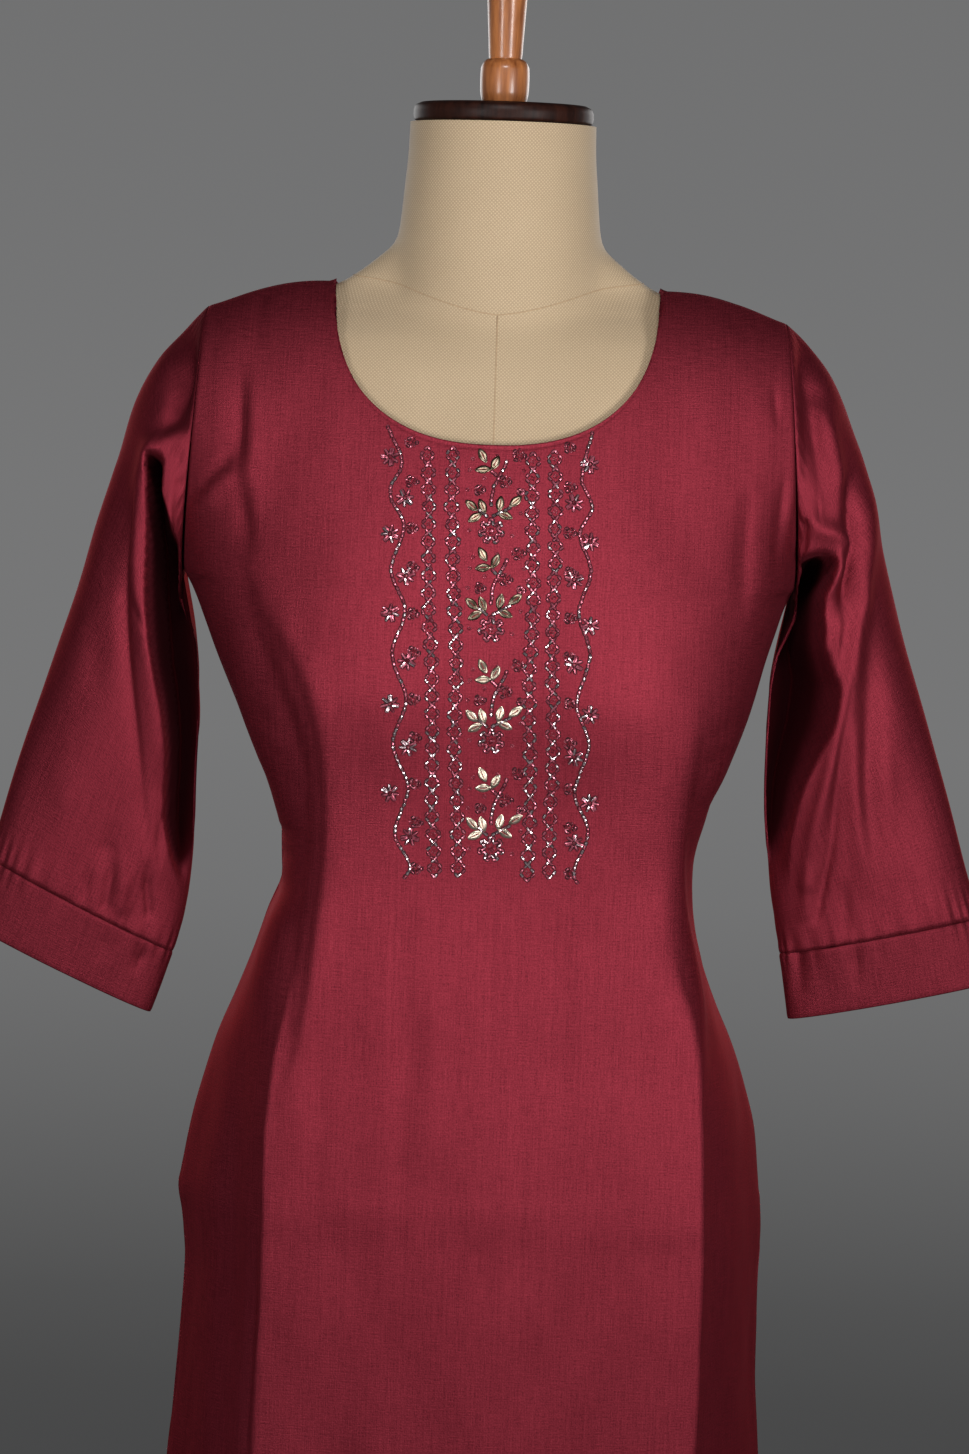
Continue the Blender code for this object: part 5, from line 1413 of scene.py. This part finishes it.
    def diamond(self, x, z, w, h):
        for sx, sz in ((1, 1), (1, -1), (-1, -1), (-1, 1)):
            a = math.atan2(-sz * h, sx * w) if sx * sz > 0 else math.atan2(h, w)
            a = math.atan2(-sz * h / 2, sx * w / 2)
            for f, long in ((0.19, 3.0), (0.72, 2.6)):
                self.bead(x + sx * w / 2 * f, z + sz * h / 2 * (1 - f), a, long, 0.68)
        for k in range(4):
            a = 2 * math.pi * k / 4 + 0.5
            self.seed(x + 1.1 * math.cos(a), z + 1.1 * math.sin(a), 0.62)

    def rosette(self, x, z, r=3.6):
        """Ring of dark beads with pink ones among them, over dark stitches."""
        for k in range(9):
            a = 2 * math.pi * (k + self.rng.uniform(-0.2, 0.2)) / 9
            rr = r * self.rng.uniform(0.78, 1.08)
            kind = "bead_rose" if self.rng.random() < 0.5 else "bead_dark"
            if k % 3 == 0:
                self.bead(x + rr * math.cos(a), z + rr * 0.86 * math.sin(a), a + math.pi / 2, 1.9, 0.5,
                          "bead_rose")
                # painted shadow: a dark strip under and round this bead
                self.bed_and_shadow(x + rr * math.cos(a), z + rr * 0.86 * math.sin(a), a + math.pi / 2, 3.2, 1.5)
            else:
                self.seed(x + rr * math.cos(a), z + rr * 0.86 * math.sin(a), 0.92, kind)
        for k in range(4):
            a = 2 * math.pi * k / 4 + self.rng.uniform(0, 1)
            self.seed(x + 1.3 * math.cos(a), z + 1.2 * math.sin(a), 0.68)
        for k in range(8):
            a = 2 * math.pi * k / 8 + self.rng.uniform(-0.2, 0.2)
            self.stitch(((x + 0.62 * r * math.cos(a), z + 0.62 * r * math.sin(a)),), a, 2.6, 0.28)

    def star(self, x, z, rays=7, r0=1.5, r1=6.0, turn=0.0):
        """Flower of radiating tube beads."""
        for k in range(rays):
            a = turn + 2 * math.pi * k / rays
            mid = (r0 + r1) / 2
            for off in ((-0.62, 0.62) if k % 2 else (0.0,)):
                self.bead(x + mid * math.cos(a) - off * math.sin(a), z + mid * math.sin(a) + off * math.cos(a),
                          a, (r1 - r0) * 0.94, 0.72)
        self.seed(x, z, 0.9)
        for k in range(rays):
            a = turn + 2 * math.pi * (k + 0.5) / rays
            self.stitch(((x + 2.4 * math.cos(a), z + 2.4 * math.sin(a)),), a, 3.2, 0.26)

    def flower(self, x, z):
        """The spray's own flower: paired petals of tube beads."""
        for k in range(7):
            a = math.radians(90 + 360 / 7 * k)
            for off in (-1.25, 1.25):
                px, pz = x + 5.0 * math.cos(a) - off * math.sin(a), z + 5.0 * math.sin(a) + off * math.cos(a)
                self.bead(px, pz, a + (0.28 if off < 0 else -0.28), 2.8, 0.74)
            px, pz = x + 7.6 * math.cos(a), z + 7.6 * math.sin(a)
            self.bead(px - 0.9 * math.sin(a), pz + 0.9 * math.cos(a), a + math.pi / 2 + 0.6, 2.1, 0.72)
            self.bead(px + 0.9 * math.sin(a), pz - 0.9 * math.cos(a), a + math.pi / 2 - 0.6, 2.1, 0.72)
        for k in range(6):
            a = 2 * math.pi * k / 6
            self.seed(x + 1.8 * math.cos(a), z + 1.8 * math.sin(a), 0.75)
        self.seed(x, z, 0.9, "bead_rose")


# Heights where the left and right vines swing furthest out and in, from the top.
VINE_TURNS = {
    -1: ((1266.1, -68.7), (1243.0, -58.9), (1224.0, -66.2), (1202.2, -56.4), (1173.3, -64.0), (1147.5, -54.1),
         (1118.6, -61.7), (1088.8, -51.7), (1060.4, -59.4), (1030.6, -48.7), (1001.4, -56.3), (978.7, -45.8), (971.3, -50.2)),
    1: ((1268.3, 64.3), (1235.7, 58.2), (1218.0, 65.4), (1200.6, 58.1), (1176.1, 66.1), (1149.8, 59.1), (1122.0, 67.2),
        (1089.1, 59.8), (1063.1, 68.5), (1031.4, 60.4), (1005.4, 69.8), (978.0, 61.5), (969.7, 65.1)),
}


def vine_x(side, z):
    rows = np.array(VINE_TURNS[side])[::-1]
    return float(smooth(rows[:, 0], rows[:, 1])(z))


def embroider(outer):
    e = Embroidery(outer)
    # four columns of diamonds, leaning a little and never quite straight
    for c, (x_top, x_low) in enumerate(((-43.1, -29.9), (-26.9, -14.8), (26.3, 31.6), (40.5, 46.0))):
        count = 25
        for k in range(count):
            f = (k + 0.6) / count
            z = (1248.4, 1248.6, 1246.4, 1248.6)[c] - 11.2 * k + 0.5 * math.sin(5 * f + c)
            x = x_top + (x_low - x_top) * f + 0.7 * math.sin(2 * math.pi * (2.1 * f) + 1.7 * c)
            x += e.rng.normal(0, 0.22)
            w = 9.4 + e.rng.normal(0, 0.4)
            e.diamond(x, z, w, 11.4 + e.rng.normal(0, 0.3))
    # the two vines with their flowers and rosettes
    outer_stars = {-1: ((-66.8, 1246.7), (-65.3, 1196.7), (-63.8, 1145.3), (-62.1, 1085.9), (-60.3, 1027.6)),
                   1: ((63.1, 1245.6), (64.8, 1195.6), (66.6, 1140.9), (68.5, 1082.8), (70.4, 1025.1))}
    inner_stars = {-1: ((-56.3, 1220.4), (-54.1, 1169.7), (-51.8, 1114.3), (-49.5, 1058.1), (-46.4, 999.1)),
                   1: ((53.5, 1220.6), (55.2, 1170.5), (57.0, 1115.1), (59.0, 1055.0), (60.9, 998.5))}
    for side in (-1, 1):
        line = [(vine_x(side, z), z) for z in np.linspace(1267.5, 971.5, 170)]
        e.silvered = (0.24, 0.78)
        e.string(line, pitch=3.05, length=2.55)
        e.silvered = (0.22, 0.42)
        for k in range(5):
            e.star(*outer_stars[side][k], 7, turn=0.4 + k)
            e.star(*inner_stars[side][k], 7, turn=1.1 + k)
    for k in range(11):
        z = 1257.5 - 27.8 * k
        f = k / 10
        e.rosette(-53.5 + 11.6 * f, z + (1.5 if k % 2 else -1), 3.7)
        e.rosette(49.7 + 9.1 * f, z + (1 if k % 2 else -1), 3.7)
    # the centre: four sprays, each with sprig, stem, leaves, flower and knots
    k1 = 0.652
    for i, (cx, cz) in enumerate(((-0.2, 1214.4), (1.8, 1150.6), (4.1, 1077.5), (6.3, 1006.7))):
        g = e.rng.normal(0, 1, 12)
        for dx, dz, a in ((-12.6, 2.0, 138), (-5.7, 2.0, 111), (-10.2, -5.5, 211),
                          (5.7, 3.9, 79), (15.8, 5.7, 39), (9.1, -3.6, -23)):
            e.leaf(cx + dx, cz + dz + 0.3 * g[0], math.radians(a + 3 * g[1]))
        for dx, dz, a in ((-6.5, 34.9, 121), (1.9, 30.6, 65), (-5.9, 26.1, 188)):
            e.leaf(cx + dx, cz + dz, math.radians(a + 3 * g[2]))
        e.string([(cx - 8.4, cz + 0.2), (cx - 5.4, cz - 2.2), (cx - 2.0, cz - 4.8)], 2.9, 2.4, "bead_silver")
        e.string([(cx + 13.0, cz + 2.2), (cx + 6.5, cz - 1.4), (cx + 0.6, cz - 4.6)], 3.0, 2.2, "bead_silver")
        e.string([(cx + 9.6, cz + 32.6), (cx + 7.6, cz + 27.5), (cx + 4.2, cz + 21.0),
                  (cx + 1.2, cz + 15.0), (cx + 0.2, cz + 8.5), (cx, cz + 2.0)], 3.0, 2.5)
        e.string([(cx - 0.6, cz + 25.6), (cx + 3.0, cz + 22.0)], 2.8, 2.3)
        e.flower(cx + 0.6, cz - 13.8)
        e.rosette(cx + 8.6, cz + 18.6, 4.2)
        e.rosette(cx + 16.8, cz + 36.0, 4.0)
        e.rosette(cx - 7.6, cz + 12.6, 3.2)
        e.rosette(cx + 19.0, cz + 12.2, 2.2)
        for dx, dz in ((-19.5, 58), (4.7, 61.6), (-22.5, 39), (-7.5, 31.5), (-24, 19.4), (-21, -21),
                       (29.8, -2.5), (22, -25.3), (31.5, 40), (24, 6)):
            x, z = cx + dx * k1, cz + dz * k1 - (5 if dz > 55 else 0)
            for q in range(5):
                a = 2 * math.pi * q / 5
                e.seed(x + 0.95 * math.cos(a), z + 0.95 * math.sin(a), 0.5, "bead_rose" if q % 2 else "bead_dark")
    mats = {
        "bead_silver": glassy("bead_silver", (0.62, 0.42, 0.46), (1.0, 0.84, 0.87), 0.22, 0.95, 0.3),
        "bead_rose": glassy("bead_rose", (0.26, 0.032, 0.058), (0.60, 0.17, 0.23), 0.24, 0.6, 0.12),
        "bead_dark": glassy("bead_dark", (0.10, 0.010, 0.018), (0.34, 0.050, 0.080), 0.3, 0.4, 0.12),
        "sequin_champagne": sequin("sequin_champagne"),
        "dark_thread_and_shadow": thread_mat("dark_thread_and_shadow", (0.034, 0.003, 0.006)),
        "thread_red": thread_mat("thread_red", (0.30, 0.02, 0.03)),
    }
    made = []
    for kind, (verts, faces) in e.parts.items():
        obj = make_object("embroidery_" + kind, np.concatenate(verts) * MM, faces, mats[kind])
        obj.data.set_sharp_from_angle(angle=math.radians(42))
        made.append(obj)
    return made


# ----------------------------------------------------------- stage and lights
def make_stage():
    around, rings = 96, (0.0, 0.5, 1.0, 1.5, 2.0, 2.4)
    verts, faces = [(0.0, 0.0, 0.0)], []
    for r in rings[1:]:
        for k in range(around):
            a = 2 * math.pi * k / around
            verts.append((r * math.cos(a), r * math.sin(a), 0.0))
    for k in range(around):
        faces.append((0, 1 + k, 1 + (k + 1) % around))
    for i in range(len(rings) - 2):
        for k in range(around):
            m = (k + 1) % around
            faces.append((1 + i * around + k, 1 + (i + 1) * around + k,
                          1 + (i + 1) * around + m, 1 + i * around + m))
    mesh = bpy.data.meshes.new("floor")
    mesh.from_pydata(verts, [], faces)
    floor = bpy.data.objects.new("floor", mesh)
    bpy.context.scene.collection.objects.link(floor)
    floor.location = (0, -0.1, -0.0005)
    n = Nodes("floor_pale")
    n.shader.inputs["Base Color"].default_value = (0.70, 0.695, 0.685, 1)
    n.set(Roughness=0.7)
    # the floor's far rim melts into the grey of the studio
    sep = n.new("ShaderNodeSeparateXYZ")
    n.link(n.new("ShaderNodeTexCoord").outputs["Object"], sep.inputs[0])
    x2 = n.math("MULTIPLY", sep.outputs[0], sep.outputs[0])
    y2 = n.math("MULTIPLY", sep.outputs[1], sep.outputs[1])
    r = n.math("SQRT", n.math("ADD", x2, y2))
    m = n.new("ShaderNodeMapRange", interpolation_type="SMOOTHERSTEP")
    m.inputs["From Min"].default_value = 0.8
    m.inputs["From Max"].default_value = 2.2
    n.link(r, m.inputs["Value"])
    mix = n.new("ShaderNodeMixShader")
    clear = n.new("ShaderNodeBsdfTransparent")
    out = n.tree.nodes["Material Output"]
    n.link(m.outputs["Result"], mix.inputs[0])
    n.link(n.shader.outputs[0], mix.inputs[1])
    n.link(clear.outputs[0], mix.inputs[2])
    n.link(mix.outputs[0], out.inputs["Surface"])
    mesh.materials.append(n.mat)


def soft_light(name, azimuth, distance, height, size, power, aim=1.05, colour=(1, 1, 1), spread=180):
    data = bpy.data.lights.new(name, "AREA")
    data.shape = "RECTANGLE"
    data.size, data.size_y = size
    data.energy = power
    data.color = colour
    data.spread = math.radians(spread)
    lamp = bpy.data.objects.new(name, data)
    bpy.context.scene.collection.objects.link(lamp)
    a = math.radians(azimuth)
    lamp.location = (distance * math.sin(a), -distance * math.cos(a), height)
    to = Vector((0, 0, aim)) - Vector(lamp.location)
    lamp.rotation_mode = "QUATERNION"
    lamp.rotation_quaternion = to.to_track_quat("-Z", "Y")
    return lamp


def make_world():
    world = bpy.data.worlds.new("studio")
    bpy.context.scene.world = world
    world.use_nodes = True
    tree = world.node_tree
    back = tree.nodes["Background"]
    coord = tree.nodes.new("ShaderNodeTexCoord")
    sep = tree.nodes.new("ShaderNodeSeparateXYZ")
    tree.links.new(coord.outputs["Generated"], sep.inputs[0])
    ramp_node = tree.nodes.new("ShaderNodeValToRGB")
    rng = tree.nodes.new("ShaderNodeMapRange")
    rng.inputs["From Min"].default_value = -0.30
    rng.inputs["From Max"].default_value = 0.50
    tree.links.new(sep.outputs[2], rng.inputs["Value"])
    tree.links.new(rng.outputs["Result"], ramp_node.inputs["Fac"])
    cr = ramp_node.color_ramp
    cr.elements[0].position, cr.elements[0].color = 0.05, (0.058, 0.059, 0.061, 1)
    cr.elements[1].position, cr.elements[1].color = 0.80, (0.030, 0.030, 0.032, 1)
    for place, tone in ((0.092, 0.068), (0.117, 0.083), (0.143, 0.107), (0.170, 0.131), (0.195, 0.151),
                        (0.222, 0.168), (0.265, 0.181), (0.33, 0.181), (0.40, 0.171), (0.46, 0.165), (0.56, 0.150)):
        stop = cr.elements.new(place)
        stop.color = (tone, tone * 1.003, tone * 1.01, 1)
    tree.links.new(ramp_node.outputs["Color"], back.inputs["Color"])
    back.inputs["Strength"].default_value = 1.0


# ----------------------------------------------------------------------- main
def main():
    make_camera()
    make_world()
    make_stage()
    soft_light("key_right", 36, 2.6, 1.10, (0.6, 0.9), 2.85, aim=1.38, spread=50)
    soft_light("key_left", -27, 2.7, 1.10, (0.6, 0.9), 1.88, aim=1.38, spread=50)
    soft_light("fill_front", 2, 3.2, 3.2, (1.2, 0.8), 8.3, aim=1.55, spread=64)
    soft_light("fill_low", 5, 2.6, 0.40, (0.9, 0.5), 1.25, aim=1.25, spread=60)
    # the side away from the camera has its own pair
    soft_light("back_right", 148, 3.0, 1.5, (2.0, 1.6), 4.5, aim=1.05, spread=70)
    soft_light("back_left", 212, 3.0, 1.5, (2.0, 1.6), 3.9, aim=1.05, spread=70)
    bpy.context.scene.view_settings.view_transform = "Standard"
    bpy.context.scene.view_settings.look = "None"

    front, outer = make_panel("front", silk("silk_front"))
    back, _ = make_panel("back", silk("silk_back"))
    cloth = {"kurta_front": front, "kurta_back": back}
    # painted shade: the bands' silk is a darker copy (0.72) of the same silk, for their flare turned up away from the
    # lamps; the sleeves' copy is darker too (0.88)
    for name, side in (("right", -1), ("left", 1)):
        cloth["sleeve_" + name] = make_sleeve(name, side, silk("silk_sleeve_" + name, tone=0.88))
        cloth["sleeve_band_" + name] = make_band(name, side, silk("silk_band_" + name, tone=0.72))
    for node, obj in cloth.items():
        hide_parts(node)

    form = make_form(canvas(), thread_mat("canvas_seam", (0.40, 0.28, 0.17)))
    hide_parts("form_torso")

    cap = turned_fine("cap_turned", CAP, 96, wood("cap_wood", (0.007, 0.003, 0.0025), (0.034, 0.010, 0.006), rough=(0.36, 0.5), coat=0.0), CAP_DEEP, 5)
    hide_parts("neck_cap")
    finial = turned_fine("finial_turned", FINIAL, 64, wood("finial_wood", (0.16, 0.042, 0.010), (0.46, 0.165, 0.05), rough=(0.26, 0.40), coat=0.28), steps=6)
    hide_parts("finial")
    pole = turned_fine("pole_turned", ((BASE_H + 0.3, POLE_R - 1), (BASE_H + 1.2, POLE_R), (BASE_H + 30, POLE_R), (340, POLE_R),
                                       (600, POLE_R), (TRUNK[0][0] - 0.3, POLE_R)), 64,
                       painted("pole_metal", (0.32, 0.31, 0.30), (0.25, 0.4), 0.9), steps=3)
    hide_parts("stand_pole")
    edge = [(0.0, BASE_R - BASE_EDGE * 0.35), (BASE_EDGE * 0.35, BASE_R), (BASE_H - BASE_EDGE, BASE_R)]
    edge += [(BASE_H - BASE_EDGE + BASE_EDGE * math.sin(a), BASE_R - BASE_EDGE + BASE_EDGE * math.cos(a))
             for a in np.linspace(0.3, math.pi / 2, 5)]
    base = turned_fine("base_turned", edge, 160, wood("base_wood", (0.030, 0.015, 0.009), (0.11, 0.05, 0.025),
                                                      stretch=(3, 30, 30), coat=0.3), steps=2)
    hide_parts("stand_base")

    beads = embroider(outer)


main()
